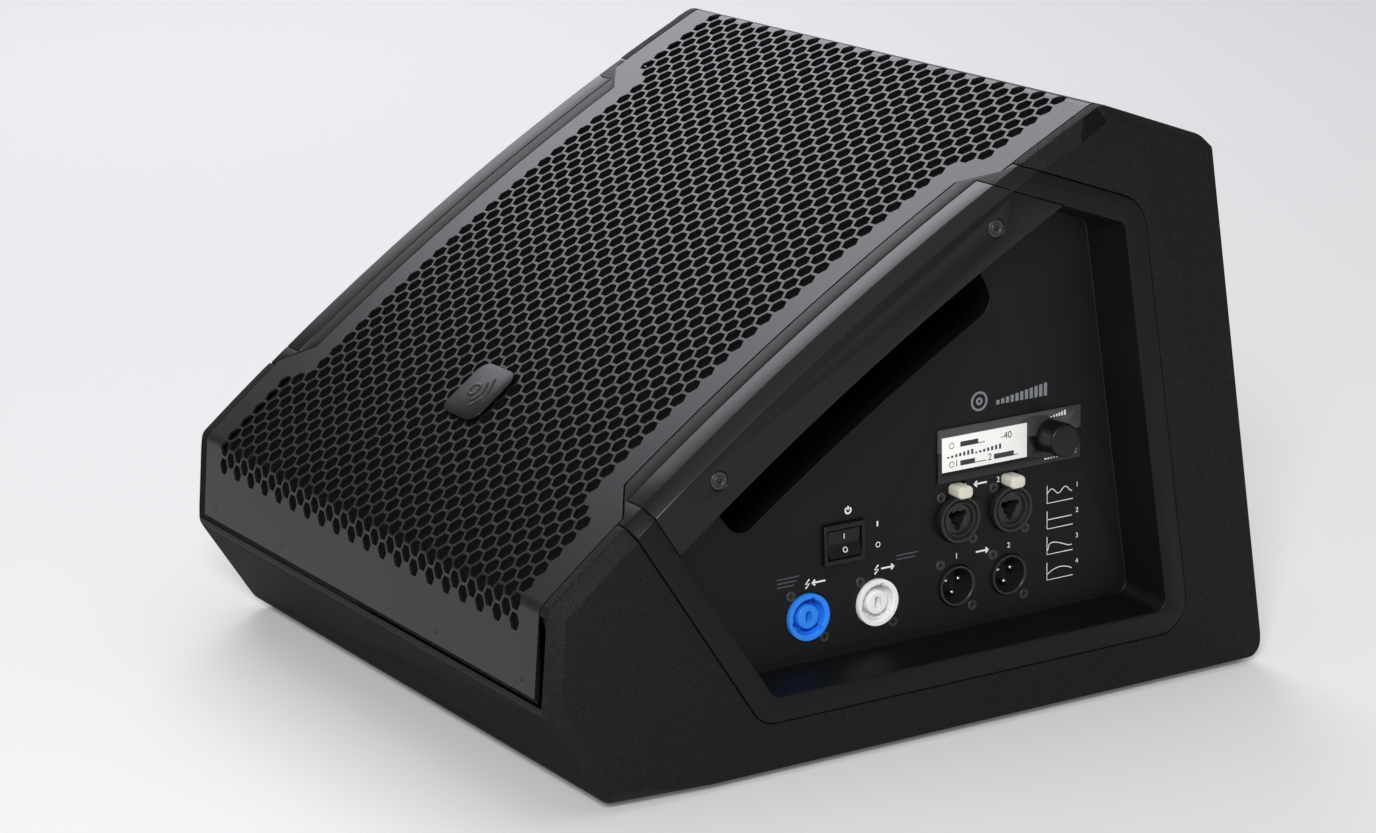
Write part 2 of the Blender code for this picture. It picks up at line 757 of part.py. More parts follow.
def tray(word, side):
    """Carrying moulding: rim, recessed panel, grip core and finger pocket in one piece."""
    radii = (0.014, 0.016, 0.020)
    body_outline = tray_outline(0.0, 0.0, radii)
    inside = side * TRAY_HALF
    body = slab(word + "_tray", body_outline, inside, side * HALF_WIDTH, black_plastic())
    pocket_back = side * (FLOOR_X - POCKET_IN)
    shell = slab(
        word + "_pocket_shell",
        pocket_outline(WALL),
        pocket_back - side * WALL,
        side * (TRAY_HALF + 0.002),
        black_plastic(),
    )
    boolean(body, shell, "UNION")

    rim_loop = tray_outline(RIM, GRIP_BAND, (0.008, 0.006, 0.006))
    mouth = tray_outline(RIM - RECESS_DRAFT * 0.2, GRIP_BAND, (0.008, 0.006, 0.006))
    floor_loop = tray_outline(RIM + RECESS_DRAFT, GRIP_BAND, (0.008, 0.006, 0.006))
    sections = [
        [world(side * (HALF_WIDTH + 0.2 * RECESS), p) for p in mouth],
        [world(side * HALF_WIDTH, p) for p in rim_loop],
        [world(side * FLOOR_X, p) for p in floor_loop],
    ]
    boolean(body, loft(word + "_recess", sections, black_plastic()))
    pocket = slab(
        word + "_pocket",
        pocket_outline(0.0),
        pocket_back,
        side * (FLOOR_X + 0.001),
        black_plastic(),
    )
    boolean(body, pocket)
    for cutter in grip_cutters(word, side):
        boolean(body, cutter)
    boolean(body, edge_chamfer(word, side))
    boolean(body, end_wedge(word, side, True))
    boolean(body, end_wedge(word, side, False))
    return body


def grip_cover(word, side):
    """L-section cover over the carrying edge, chamfered along its front corner."""
    seam = HALF_WIDTH - GRIP_SEAM_IN
    cover = slab(
        word + "_grip_cover",
        grip_outline(0.0, GRIP_BAND, 0.0),
        side * seam,
        side * HALF_WIDTH,
        black_plastic(),
    )
    hollow = grip_outline(GRIP_WALL, GRIP_BAND + 0.02, 0.02)
    boolean(
        cover,
        slab(
            word + "_grip_hollow",
            hollow,
            side * (seam - 0.01),
            side * (HALF_WIDTH - GRIP_WALL),
            black_plastic(),
        ),
    )
    boolean(cover, edge_chamfer(word + "_cover", side))
    return cover


def grip_screws(word, side):
    """Hex-socket countersunk screws through the cover into the moulding's grip core."""
    cover = bpy.data.objects[word + "_grip_cover"]
    body = bpy.data.objects[word + "_tray"]
    for number, along in enumerate(GRIP_SCREW_ALONG, 1):
        name = f"{word}_grip_screw_{number}"
        place = facing(world(side * HALF_WIDTH, front(along, GRIP_SCREW_DEPTH)), (side, 0.0, 0.0))
        shape = [
            (0.0, -0.0162),
            (0.0019, -0.0162),
            (0.0019, -0.0026),
            (0.0045, -0.0020),
            (0.0045, -0.0004),
        ]
        shape += [(0.0042, -0.0001), (0.0019, -0.0001), (0.0017, -0.0016), (0.0, -0.0016)]
        turned(name, shape, place, dark_steel(), 16)
        bore = [
            (0.0, -0.0172),
            (0.0022, -0.0172),
            (0.0022, -0.0030),
            (0.0048, -0.0024),
            (0.0048, 0.01),
            (0.0, 0.01),
        ]
        for target in (cover, body):
            boolean(target, turned(f"{name}_bore_{target.name}", bore, place, dark_steel(), 16))


# ---------------------------------------------------------------- control panel
def panel_hole(name, at, radius):
    body = bpy.data.objects["right_tray"]
    boolean(
        body,
        disc(name + "_hole", radius + GAP, -0.012, 0.010, out_of_panel(at), black_plastic(), 28),
    )


def power_connector(name, at, colour):
    """Round locking mains connector, fixed from behind the panel."""
    panel_hole(name, at, PANEL_CONNECTOR_R)
    r = PANEL_CONNECTOR_R
    shape = [(0.0, -0.026), (r - 0.001, -0.026), (r, -0.025), (r, 0.0010), (r - 0.0006, 0.0016)]
    shape += [
        (0.0100, 0.0016), (0.0096, -0.0110), (0.0064, -0.0110), (0.0062, 0.0006), (0.0036, 0.0006)
    ]
    shape += [(0.0032, -0.0120), (0.0, -0.0120)]
    turned(name, shape, out_of_panel(at), material(name + "_plastic", colour, 0.35), 28)


def combo_connector(number, at):
    """Combined jack and three-pole input with a push tab above its ring."""
    name = f"combo_input_{number}"
    panel_hole(name, at, PANEL_CONNECTOR_R)
    r = PANEL_CONNECTOR_R
    shape = [
        (0.0, -0.028),
        (r, -0.028),
        (r, 0.0022),
        (r - 0.0010, 0.0032),
        (0.0098, 0.0032),
        (0.0092, -0.0006),
    ]
    shape += [(0.0042, -0.0006), (0.0038, -0.0240), (0.0, -0.0240)]
    body = turned(name, shape, out_of_panel(at), black_plastic(), 28)
    middle = r + TAB_UP
    size = (2 * (TAB_HALF + 2 * GAP), 2 * (TAB_RISE + 2 * GAP), 0.010)
    for target, word in ((body, "body"), (bpy.data.objects["right_tray"], "panel")):
        place = out_of_panel(at) @ Matrix.Translation((0, middle, 0.0012))
        boolean(target, block(f"tab_slot_{word}_{number}", size, place, black_plastic()))
    tab_place = out_of_panel(at) @ Matrix.Translation((0, middle, 0.0))
    shape = [(TAB_HALF, TAB_RISE - TAB_BEVEL), (TAB_HALF - TAB_BEVEL, TAB_RISE)]
    shape += [(-x, y) for x, y in shape[::-1]]
    shape += [(-x, -y) for x, y in shape]
    sections = [[tab_place @ Vector((x, y, z)) for x, y in shape] for z in (-0.0016, TAB_PROUD - 0.0006)]
    top = [tab_place @ Vector((x * 0.9, y * 0.9, TAB_PROUD)) for x, y in shape]
    tab = loft(
        f"combo_tab_{number}", sections + [top], material("cream_plastic", (0.62, 0.60, 0.55), 0.45)
    )
    carry(hinge_empty(f"tab_{number}_axis", panel_point(at)), tab)


def thru_connector(number, at):
    """Three-pin output socket: a ring round an open cavity with bright pins."""
    name = f"thru_output_{number}"
    panel_hole(name, at, THRU_R)
    r = THRU_R
    shape = [
        (0.0, -0.024),
        (r, -0.024),
        (r, 0.0006),
        (r - 0.0006, 0.0012),
        (0.0092, 0.0012),
        (0.0088, -0.0150),
        (0.0, -0.0150),
    ]
    turned(name, shape, out_of_panel(at), black_plastic(), 28)
    pins = bpy.data.objects[name]
    for i, turn in enumerate((30.0, 150.0, 270.0)):
        angle = math.radians(turn)
        spot = Matrix.Translation((0.0044 * math.cos(angle), 0.0044 * math.sin(angle), 0.0))
        pin = disc(
            f"{name}_pin_{i}",
            0.00115,
            -0.0160,
            -0.0040,
            out_of_panel(at) @ spot,
            bright_steel(),
            10,
        )
        boolean(pins, pin, "UNION")


def rocker_switch():
    """Mains rocker: a bezel let into the panel and a two-position paddle on a cross pin."""
    wide, tall = SWITCH_SIZE
    lip = 0.0018
    place = out_of_panel(SWITCH_AT)
    hole = block("switch_hole", (wide - 0.0024, tall - 0.0024, 0.03), place, black_plastic())
    boolean(bpy.data.objects["right_tray"], hole)
    bezel = block(
        "switch_bezel",
        (wide, tall, lip),
        place @ Matrix.Translation((0, 0, GAP + lip / 2)),
        black_plastic(),
        0.0004,
    )
    neck = block(
        "switch_neck",
        (wide - 0.0032, tall - 0.0032, 0.018),
        place @ Matrix.Translation((0, 0, -0.0080)),
        black_plastic(),
    )
    boolean(bezel, neck, "UNION")
    bay_depth = 0.0100
    bay = block(
        "switch_bay",
        (0.0196, 0.0150, bay_depth + 0.01),
        place @ Matrix.Translation((0, 0, 0.005 - bay_depth / 2)),
        black_plastic(),
    )
    boolean(bezel, bay)
    half = 0.0068
    outline = [
        (-half, 0.0020),
        (0.0, 0.0006),
        (half, 0.0020),
        (half - 0.0010, -0.0016),
        (0.0024, -0.0060),
        (-0.0024, -0.0060),
        (-half + 0.0010, -0.0016),
    ]
    turn = Matrix.Rotation(-ROCKER_TILT, 4, "X")
    sections = []
    for x in (-0.0092, 0.0092):
        sections.append([place @ turn @ Vector((x, y, z)) for y, z in outline])
    paddle = loft("switch_rocker", sections, black_plastic())
    carry(hinge_empty("rocker_axis", panel_point(SWITCH_AT)), paddle)


def display():
    """Smoked window stuck on the panel with the display glass let in flush behind its cut-out."""
    wide, tall = DISPLAY_SIZE
    glass_w, glass_h = LCD_SIZE
    lcd_place = out_of_panel(LCD_AT)
    cover_t = 0.0008
    window = block(
        "display_window",
        (wide, tall, cover_t),
        out_of_panel(DISPLAY_AT) @ Matrix.Translation((0, 0, GAP + cover_t / 2)),
        material("smoked_window", (0.03, 0.03, 0.032), 0.12),
    )
    boolean(
        window,
        block(
            "glass_opening",
            (glass_w + 2 * GAP, glass_h + 2 * GAP, 0.01),
            lcd_place,
            black_plastic(),
        ),
    )
    boolean(
        window,
        disc("knob_opening", 0.0050, -0.01, 0.01, out_of_panel(KNOB_AT), black_plastic(), 24),
    )
    boolean(
        bpy.data.objects["right_tray"],
        block("glass_bay", (glass_w + 2 * GAP, glass_h + 2 * GAP, 0.02), lcd_place, black_plastic()),
    )
    depth = 0.0060
    block(
        "display_glass",
        (glass_w, glass_h, depth),
        lcd_place @ Matrix.Translation((0, 0, 0.0008 - depth / 2)),
        material("display_glass", (0.7, 0.72, 0.7), 0.2),
    )


def encoder():
    """Push-and-turn encoder: fixed body, sprung plunger, and the shaft with its knob."""
    place = out_of_panel(KNOB_AT)
    bore = 0.0040
    boolean(
        bpy.data.objects["right_tray"],
        disc("encoder_hole", bore, -0.012, 0.010, place, black_plastic(), 24),
    )
    back = -(TRAY_IN_X - RECESS) - GAP
    shell = [
        (0.0031, back - 0.010),
        (0.0065, back - 0.010),
        (0.0065, back),
        (bore - GAP, back),
        (bore - GAP, 0.0024),
        (0.0031, 0.0024),
    ]
    turned("encoder_body", shell, place, bright_steel(), 24)
    plunger = [
        (0.0, back - 0.0090), (0.0028, back - 0.0090), (0.0028, back - 0.0040), (0.0, back - 0.0040)
    ]
    spring_piece = turned("encoder_plunger", plunger, place, white_plastic(), 20)
    shaft = [(0.0, back - 0.0037), (0.0027, back - 0.0037), (0.0027, 0.0090), (0.0, 0.0090)]
    spindle = turned("encoder_shaft", shaft, place, bright_steel(), 20)
    base = 0.0012 + KNOB_TRAVEL + 0.0003
    top = base + KNOB_REACH - 0.0015
    knob = [
        (0.0, 0.0093),
        (0.0030, 0.0093),
        (0.0030, 0.0032),
        (0.0044, 0.0032),
        (0.0044, base),
        (KNOB_R, base),
    ]
    knob += [
        (KNOB_R, base + 0.0010), (KNOB_R - 0.0003, top - 0.0008), (KNOB_R - 0.0011, top), (0.0, top)
    ]
    cap = turned("volume_knob", knob, place, black_plastic(), 28)
    axis = hinge_empty("knob_axis", panel_point(KNOB_AT))
    carry(axis, spring_piece, spindle, cap)


# ---------------------------------------------------------------- electronics
def electronics():
    """Amplifier board with heat sink, and a switching supply, on the back of the panel."""
    green = material("circuit_board", (0.01, 0.09, 0.04), 0.5)
    metal = material("aluminium", (0.7, 0.7, 0.7), 0.35, 1.0)
    block(
        "input_board",
        (0.0016, 0.094, 0.070),
        Matrix.Translation(world(TRAY_HALF - 0.0378, Vector((0.2400, 0.0980)))),
        green,
    )
    block(
        "supply_board",
        (0.0016, 0.092, 0.050),
        Matrix.Translation(world(TRAY_HALF - 0.0358, Vector((0.1440, 0.0560)))),
        green,
    )
    fins = block(
        "amplifier_heatsink",
        (0.030, 0.110, 0.060),
        Matrix.Translation(world(TRAY_HALF - 0.0568, Vector((0.2400, 0.0640)))),
        metal,
    )
    for i in range(6):
        spot = Matrix.Translation(world(TRAY_HALF - 0.0608, Vector((0.2400, 0.0400 + 0.0098 * i))))
        boolean(fins, block(f"fin_gap_{i}", (0.030, 0.12, 0.0055), spot, metal))
    core = material("transformer", (0.35, 0.20, 0.02), 0.6)
    block(
        "supply_transformer",
        (0.026, 0.034, 0.034),
        Matrix.Translation(world(TRAY_HALF - 0.0498, Vector((0.1300, 0.0560)))),
        core,
        0.003,
    )


# ---------------------------------------------------------------- loudspeaker
def woofer_frame():
    """Local +Z points into the cabinet from the baffle's front face at the driver's centre."""
    middle = flat(CHORD.length / 2, BAFFLE_SET)
    return facing(world(0.0, middle), (0.0, INWARD.x, INWARD.y))


def port_frame(side):
    return facing(world(side * PORT_X, flat(PORT_ALONG, BAFFLE_SET)), (0.0, INWARD.x, INWARD.y))


def woofer():
    """Ten-inch coaxial driver: frame, magnet, moving cone and coil, surround and spider."""
    seat = woofer_frame()
    iron = material("black_iron", (0.05, 0.05, 0.05), 0.4, 0.8)
    ferrite = material("ferrite", (0.06, 0.06, 0.065), 0.7)
    paper = material("cone_paper", (0.02, 0.02, 0.02), 0.8)
    hole = WOOFER_HOLE_R
    plate_z, magnet_z, yoke_z, end_z = 0.0800, 0.0873, 0.1056, 0.1140
    basket = [
        (WOOFER_R, 0.0),
        (WOOFER_R, FLANGE_T),
        (hole, FLANGE_T),
        (hole - 0.004, 0.020),
        (0.066, 0.072),
        (0.062, plate_z - GAP),
    ]
    basket += [
        (0.038, plate_z - GAP),
        (0.038, plate_z - 0.0040),
        (0.060, plate_z - 0.0045),
        (0.062, 0.0700),
        (hole - 0.008, 0.018),
        (hole - 0.005, 0.0),
    ]
    frame = turned("woofer_frame", basket, seat, iron, 40)
    for i in range(6):
        angle = math.pi / 3 * i + math.pi / 6
        spot = seat @ Matrix.Rotation(angle, 4, "Z") @ Matrix.Translation((0.095, 0, 0.046))
        boolean(frame, block(f"frame_window_{i}", (0.060, 0.056, 0.036), spot, iron))
    ring = [(0.0262, plate_z), (0.060, plate_z), (0.060, magnet_z - GAP), (0.0262, magnet_z - GAP)]
    turned("woofer_front_plate", ring, seat, iron, 32)
    magnet = [(0.036, magnet_z), (0.070, magnet_z), (0.070, yoke_z - GAP), (0.036, yoke_z - GAP)]
    turned("woofer_magnet", magnet, seat, ferrite, 32)
    yoke = [
        (0.0125, yoke_z - 0.0258),
        (0.0240, yoke_z - 0.0258),
        (0.0240, yoke_z),
        (0.062, yoke_z),
        (0.062, end_z - GAP),
        (0.0125, end_z - GAP),
    ]
    turned("woofer_yoke", yoke, seat, iron, 32)
    driver = [
        (0.0, end_z),
        (0.044, end_z),
        (0.044, end_z + 0.030),
        (0.036, end_z + 0.042),
        (0.0, end_z + 0.042),
    ]
    turned("tweeter_driver", driver, seat, iron, 32)
    horn = [
        (0.0100, end_z - 0.001),
        (0.0122, end_z - 0.001),
        (0.0122, 0.0700),
        (0.0300, 0.0420),
        (0.0300, 0.0400),
        (0.0285, 0.0400),
        (0.0100, 0.0690),
    ]
    turned("tweeter_horn", horn, seat, black_plastic(), 28)
    surround = []
    inner_r, outer_r, arch = 0.0985, 0.1110, 0.0055
    for i in range(6):
        angle = math.pi * i / 5
        middle, half = (inner_r + outer_r) / 2, (outer_r - inner_r) / 2
        surround.append((middle - half * math.cos(angle), 0.0015 - arch * math.sin(angle)))
    lower = [(r, z + 0.0012) for r, z in reversed(surround)]
    turned("woofer_surround", surround + lower, seat, black_rubber(), 40)
    cone = [(0.0335, 0.0560), (0.0980, 0.0012), (0.0980, 0.0026), (0.0335, 0.0580)]
    cone_piece = turned("woofer_cone", cone, seat, paper, 40)
    coil = [
        (0.0247, 0.0560),
        (0.0330, 0.0560),
        (0.0330, 0.0568),
        (0.0256, 0.0568),
        (0.0256, 0.0860),
        (0.0247, 0.0860),
    ]
    coil_piece = turned("voice_coil", coil, seat, material("copper", (0.5, 0.2, 0.08), 0.35, 0.9), 28)
    spider = [(0.0345, 0.0625), (0.0410, 0.0605), (0.0480, 0.0645), (0.0550, 0.0625)]
    upper = [(r, z - 0.0010) for r, z in reversed(spider)]
    turned("woofer_spider", spider + upper, seat, material("spider_cloth", (0.45, 0.33, 0.12), 0.9), 32)
    carry(
        hinge_empty("cone_axis", world(0.0, flat(CHORD.length / 2, BAFFLE_SET))),
        cone_piece,
        coil_piece,
    )


def ports():
    for side, word in ((1, "right"), (-1, "left")):
        tube = [(PORT_R + 0.004, -0.0012), (PORT_R + 0.006, -0.0003), (PORT_R + PORT_WALL, -0.0003)]
        tube += [
            (PORT_R + PORT_WALL, PORT_LENGTH),
            (PORT_R, PORT_LENGTH),
            (PORT_R, 0.0030),
            (PORT_R + 0.0015, -0.0005),
        ]
        turned(word + "_port_tube", tube, port_frame(side), black_plastic(), 32)


def lining():
    """Acoustic wadding against the back panel."""
    inner = side_line("brow", "heel", BOARD + 0.001)
    outer = side_line("brow", "heel", BOARD + 0.021)
    outline = []
    for line, heights in ((inner, (0.24, 0.03)), (outer, (0.03, 0.24))):
        for height in heights:
            outline.append(meet(*line, Vector((0.0, height)), Vector((1.0, 0.0))))
    slab("back_wadding", outline, -0.095, 0.095, material("wadding", (0.3, 0.3, 0.28), 0.95))


def feet():
    spots = ((-1, 0.040), (1, 0.040), (-1, BASE_DEPTH - 0.040), (1, BASE_DEPTH - 0.040))
    for number, (side, y) in enumerate(spots, 1):
        place = Matrix.Translation(world(side * (HALF_WIDTH - 0.045), Vector((y, 0.0))))
        shape = [
            (0.0, -FOOT_HEIGHT),
            (FOOT_R - 0.001, -FOOT_HEIGHT),
            (FOOT_R, -FOOT_HEIGHT + 0.001),
            (FOOT_R + 0.001, -GAP),
            (0.0, -GAP),
        ]
        turned(f"rubber_foot_{number}", shape, place, black_rubber(), 24)


clear_scene()
side_panel("right_side_panel", 1)
side_panel("left_side_panel", -1)
boards()
baffle_board()
grille()
grille_foam()
badge()
for wording, direction in (("right", 1), ("left", -1)):
    tray(wording, direction)
    grip_cover(wording, direction)
    grip_screws(wording, direction)
power_connector("power_inlet", POWER_IN_AT, (0.02, 0.26, 0.85))
power_connector("power_outlet", POWER_OUT_AT, (0.8, 0.8, 0.8))
for count, (combo, thru) in enumerate(zip(COMBO_AT, THRU_AT), 1):
    combo_connector(count, combo)
    thru_connector(count, thru)
rocker_switch()
display()
encoder()
electronics()
woofer()
ports()
lining()
feet()
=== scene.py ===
"""The looks of a powered stage monitor wedge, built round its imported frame.
Metres, +Z up: the grille faces -Y and the control panel faces +X."""

import math

import bmesh
import bpy
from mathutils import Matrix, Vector


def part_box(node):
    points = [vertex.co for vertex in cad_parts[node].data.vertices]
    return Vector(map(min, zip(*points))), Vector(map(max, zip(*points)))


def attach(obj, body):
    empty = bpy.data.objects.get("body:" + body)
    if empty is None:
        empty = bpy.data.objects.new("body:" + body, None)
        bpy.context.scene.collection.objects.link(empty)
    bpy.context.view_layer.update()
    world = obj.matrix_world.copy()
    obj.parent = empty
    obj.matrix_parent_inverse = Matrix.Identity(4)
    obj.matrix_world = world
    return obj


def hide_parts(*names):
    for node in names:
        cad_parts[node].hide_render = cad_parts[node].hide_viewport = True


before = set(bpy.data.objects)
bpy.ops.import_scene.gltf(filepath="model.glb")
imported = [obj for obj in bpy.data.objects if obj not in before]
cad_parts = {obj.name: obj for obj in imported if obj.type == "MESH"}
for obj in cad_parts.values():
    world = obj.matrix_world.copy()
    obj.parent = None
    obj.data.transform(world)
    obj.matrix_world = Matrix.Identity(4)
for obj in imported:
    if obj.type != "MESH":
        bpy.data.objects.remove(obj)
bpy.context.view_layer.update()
bpy.context.scene.view_settings.view_transform = "Standard"


# ---- Cabinet ------------------------------------------------------------------------------
# The cabinet is birch plywood glued up into one box and sprayed all over with a thick black
# polyurea coat, so no joint between its boards shows. The front is bowed, the front and top
# edges of both sides are chamfered, and each side is cut out for a plastic moulding.
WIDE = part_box("right_side_panel")[1].x
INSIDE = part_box("bottom_panel")[1].x
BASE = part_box("bottom_panel")[0].z
CORNER_ROUND = 0.008
TOE = Vector((-0.17795, 0.0040))
CHIN = Vector((-0.20975, 0.0551))
NOSE = Vector((-0.20525, 0.1034))
CREST = Vector((0.10915, 0.3027))
BROW = Vector((0.17215, 0.2798))
HEEL = Vector((0.21085, 0.0040))
BOW_RISE = 0.0108
BOARD = 0.0127
SHEET_REBATE = 0.0023
BAFFLE_SET = 0.0060
FLANGE_DROP = 0.0432
TOP_RETURN = 0.0260
CHORD = CREST - NOSE
BOW_RADIUS = (CHORD.length_squared / 4 + BOW_RISE**2) / (2 * BOW_RISE)
INTO_FRONT = Vector((CHORD.y, -CHORD.x)).normalized()
BOW_MIDDLE = NOSE + CHORD / 2 + INTO_FRONT * (BOW_RADIUS - BOW_RISE)
NOSE_TURN = math.atan2(NOSE.y - BOW_MIDDLE.y, NOSE.x - BOW_MIDDLE.x)
FRONT_LENGTH = BOW_RADIUS * 2 * math.asin(CHORD.length / 2 / BOW_RADIUS)
BOW_FLATS = 30
CHAMFER_X = 0.0060
FRONT_CHAMFER = 0.0068
TOP_CHAMFER = 0.0045
KERF = 0.000001
MERGE = 0.00002
MOULDING_GAP = 0.0004
GLUE_GAP = 0.0003
CORNER_REACH = 0.0115


def pick(*pieces):
    """Leaves only these pieces selected, the first of them active."""
    bpy.ops.object.select_all(action="DESELECT")
    for piece in pieces:
        piece.select_set(True)
    bpy.context.view_layer.objects.active = pieces[0]
    return pieces[0]


def edit(piece):
    """Opens the mesh of one piece for editing."""
    pick(piece)
    bpy.ops.object.mode_set(mode="EDIT")


def done():
    bpy.ops.object.mode_set(mode="OBJECT")


def settle(piece):
    """Applies a piece's place and its modifiers, so that all of it is in its mesh."""
    pick(piece)
    bpy.ops.object.transform_apply(location=True, rotation=True, scale=True)
    for modifier in list(piece.modifiers):
        bpy.ops.object.modifier_apply(modifier=modifier.name)
    return piece


def block(name, low, high):
    """A box between two corners, ready to be cut to shape."""
    middle = [(a + b) / 2 for a, b in zip(low, high)]
    bpy.ops.mesh.primitive_cube_add(size=1.0, location=middle)
    made = bpy.context.object
    made.name = name
    made.scale = [b - a for a, b in zip(low, high)]
    return settle(made)


def bow(along, depth=0.0):
    """A point of the bowed front in the side view, so far along it and so deep."""
    turn = NOSE_TURN - along / BOW_RADIUS
    return BOW_MIDDLE + (BOW_RADIUS - depth) * Vector((math.cos(turn), math.sin(turn)))


def side_flat(start, end, depth=0.0):
    """The saw cut along one straight side: a point on it and its outward direction."""
    run = (end - start).normalized()
    outward = Vector((-run.y, run.x))
    return start - outward * depth, outward


def bow_flats(depth=0.0):
    """Narrow saw cuts that together follow the bow."""
    cuts = []
    for i in range(BOW_FLATS):
        place = bow(FRONT_LENGTH * (i + 0.5) / BOW_FLATS, depth)
        cuts.append((place, (place - BOW_MIDDLE).normalized()))
    return cuts


def round_flats(corner, before, after, radius, count=6):
    """Narrow saw cuts that together round a corner between two outward directions."""
    centre = corner - (before + after) * radius / (1 + before.dot(after))
    cuts = []
    for i in range(1, count + 1):
        way = before.lerp(after, i / (count + 1)).normalized()
        cuts.append((centre + way * radius, way))
    return cuts


def chamfer_cuts(cuts, depth):
    """Saw cuts that take the corner off both ends of a set of cuts."""
    slants = []
    for place, outward in cuts:
        deep = place - outward * depth
        for side in (-1, 1):
            lean = Vector((side * depth, outward.x * CHAMFER_X, outward.y * CHAMFER_X))
            slants.append((Vector((side * WIDE, deep.x, deep.y)), lean))
    return slants


def saw(piece, cuts):
    """Saws a block along planes, most of them square to the side view, and keeps what is behind."""
    edit(piece)
    for place, outward in cuts:
        square = len(place) == 2
        bpy.ops.mesh.select_all(action="SELECT")
        bpy.ops.mesh.bisect(
            plane_co=(0.0, place.x, place.y) if square else place,
            plane_no=(0.0, outward.x, outward.y) if square else outward,
            use_fill=True,
            clear_outer=True,
            threshold=KERF,
        )
    bpy.ops.mesh.select_all(action="SELECT")
    bpy.ops.mesh.normals_make_consistent(inside=False)
    done()
    return piece


def choose(piece, kind, wanted):
    """In edit mode, selects only the edges or faces that pass a test."""
    bpy.ops.mesh.select_mode(type=kind)
    bpy.ops.mesh.select_all(action="DESELECT")
    shape = bmesh.from_edit_mesh(piece.data)
    for element in shape.faces if kind == "FACE" else shape.edges:
        element.select_set(wanted(element))
    bmesh.update_edit_mesh(piece.data)


def round_corner(piece, corner, radius, segments=6):
    """Rounds the edge that runs across the cabinet at one corner of the side view."""

    def at_corner(edge):
        across = abs(edge.verts[0].co.x - edge.verts[1].co.x) > 0.001
        near = all((Vector(v.co.yz) - corner).length < CORNER_REACH for v in edge.verts)
        return across and near and edge.calc_face_angle(0.0) > 0.3

    edit(piece)
    choose(piece, "EDGE", at_corner)
    shape = bmesh.from_edit_mesh(piece.data)
    turns = [edge.calc_face_angle() for edge in shape.edges if edge.select]
    if turns:
        offset = radius * math.tan(max(turns) / 2)
        bpy.ops.mesh.bevel(offset=offset, segments=segments, profile=0.5)
    done()


def carve(piece, *cutters):
    """Takes cutters out of a piece and throws them away."""
    for cutter in cutters:
        cut = piece.modifiers.new(cutter.name, "BOOLEAN")
        cut.operation = "DIFFERENCE"
        cut.object = cutter
    settle(piece)
    for cutter in cutters:
        bpy.data.objects.remove(cutter)
    return piece


def soften(piece, width, segments=3, least=25.0):
    """Rounds every edge sharper than a given angle, then shades the piece smooth."""
    settle(piece)
    edge_round = piece.modifiers.new("edge_round", "BEVEL")
    edge_round.width = width
    edge_round.segments = segments
    edge_round.limit_method = "ANGLE"
    edge_round.angle_limit = math.radians(least)
    edge_round.use_clamp_overlap = False
    edge_round.miter_outer = "MITER_ARC"
    settle(piece)
    bpy.ops.object.shade_smooth_by_angle(angle=math.radians(least))
    return piece


def tidy_copy(node, name):
    """A copy of a frame node as one connected skin, without the seams across its flats."""
    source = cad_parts[node]
    copy = source.copy()
    copy.data = source.data.copy()
    copy.name = name
    copy.parent = None
    bpy.context.scene.collection.objects.link(copy)
    edit(copy)
    bpy.ops.mesh.select_all(action="SELECT")
    bpy.ops.mesh.remove_doubles(threshold=MERGE)
    bpy.ops.mesh.dissolve_limited(angle_limit=math.radians(0.6))
    done()
    return copy


def principled(name, colour, roughness, metallic=0.0, gloss=0.5):
    """A plain finish, to be worked up further."""
    finish = bpy.data.materials.new(name)
    finish.use_nodes = True
    shader = shader_of(finish)
    shader.inputs["Base Color"].default_value = (*colour, 1.0)
    shader.inputs["Roughness"].default_value = roughness
    shader.inputs["Metallic"].default_value = metallic
    shader.inputs["Specular IOR Level"].default_value = gloss
    return finish


def shader_of(finish):
    return finish.node_tree.nodes["Principled BSDF"]


def milky(finish, weight, depth):
    """Lets a little light into a bright plastic."""
    shader = shader_of(finish)
    shader.inputs["Subsurface Weight"].default_value = weight
    shader.inputs["Subsurface Scale"].default_value = depth
    return finish


def dress(piece, finish, body="cabinet", nodes=()):
    """Gives a piece its finish, its body and the nodes it stands for."""
    piece.data.materials.clear()
    piece.data.materials.append(finish)
    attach(piece, body)
    if nodes:
        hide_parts(*nodes)
    return piece


def renewed(node, name, finish, width, segments=3, least=28.0, body="cabinet", sunk=0.0):
    """A frame node's own shape with its edges rounded, let into the panel if it is sunk."""
    made = soften(tidy_copy(node, name), width, segments, least)
    if sunk:
        made.location.x = -sunk
        settle(made)
    return dress(made, finish, body, [node])


def add_node(tree, kind, values=None):
    """One shader node, with some of its inputs set."""
    made = tree.nodes.new("ShaderNode" + kind)
    for name, value in (values or {}).items():
        made.inputs[name].default_value = value
    return made


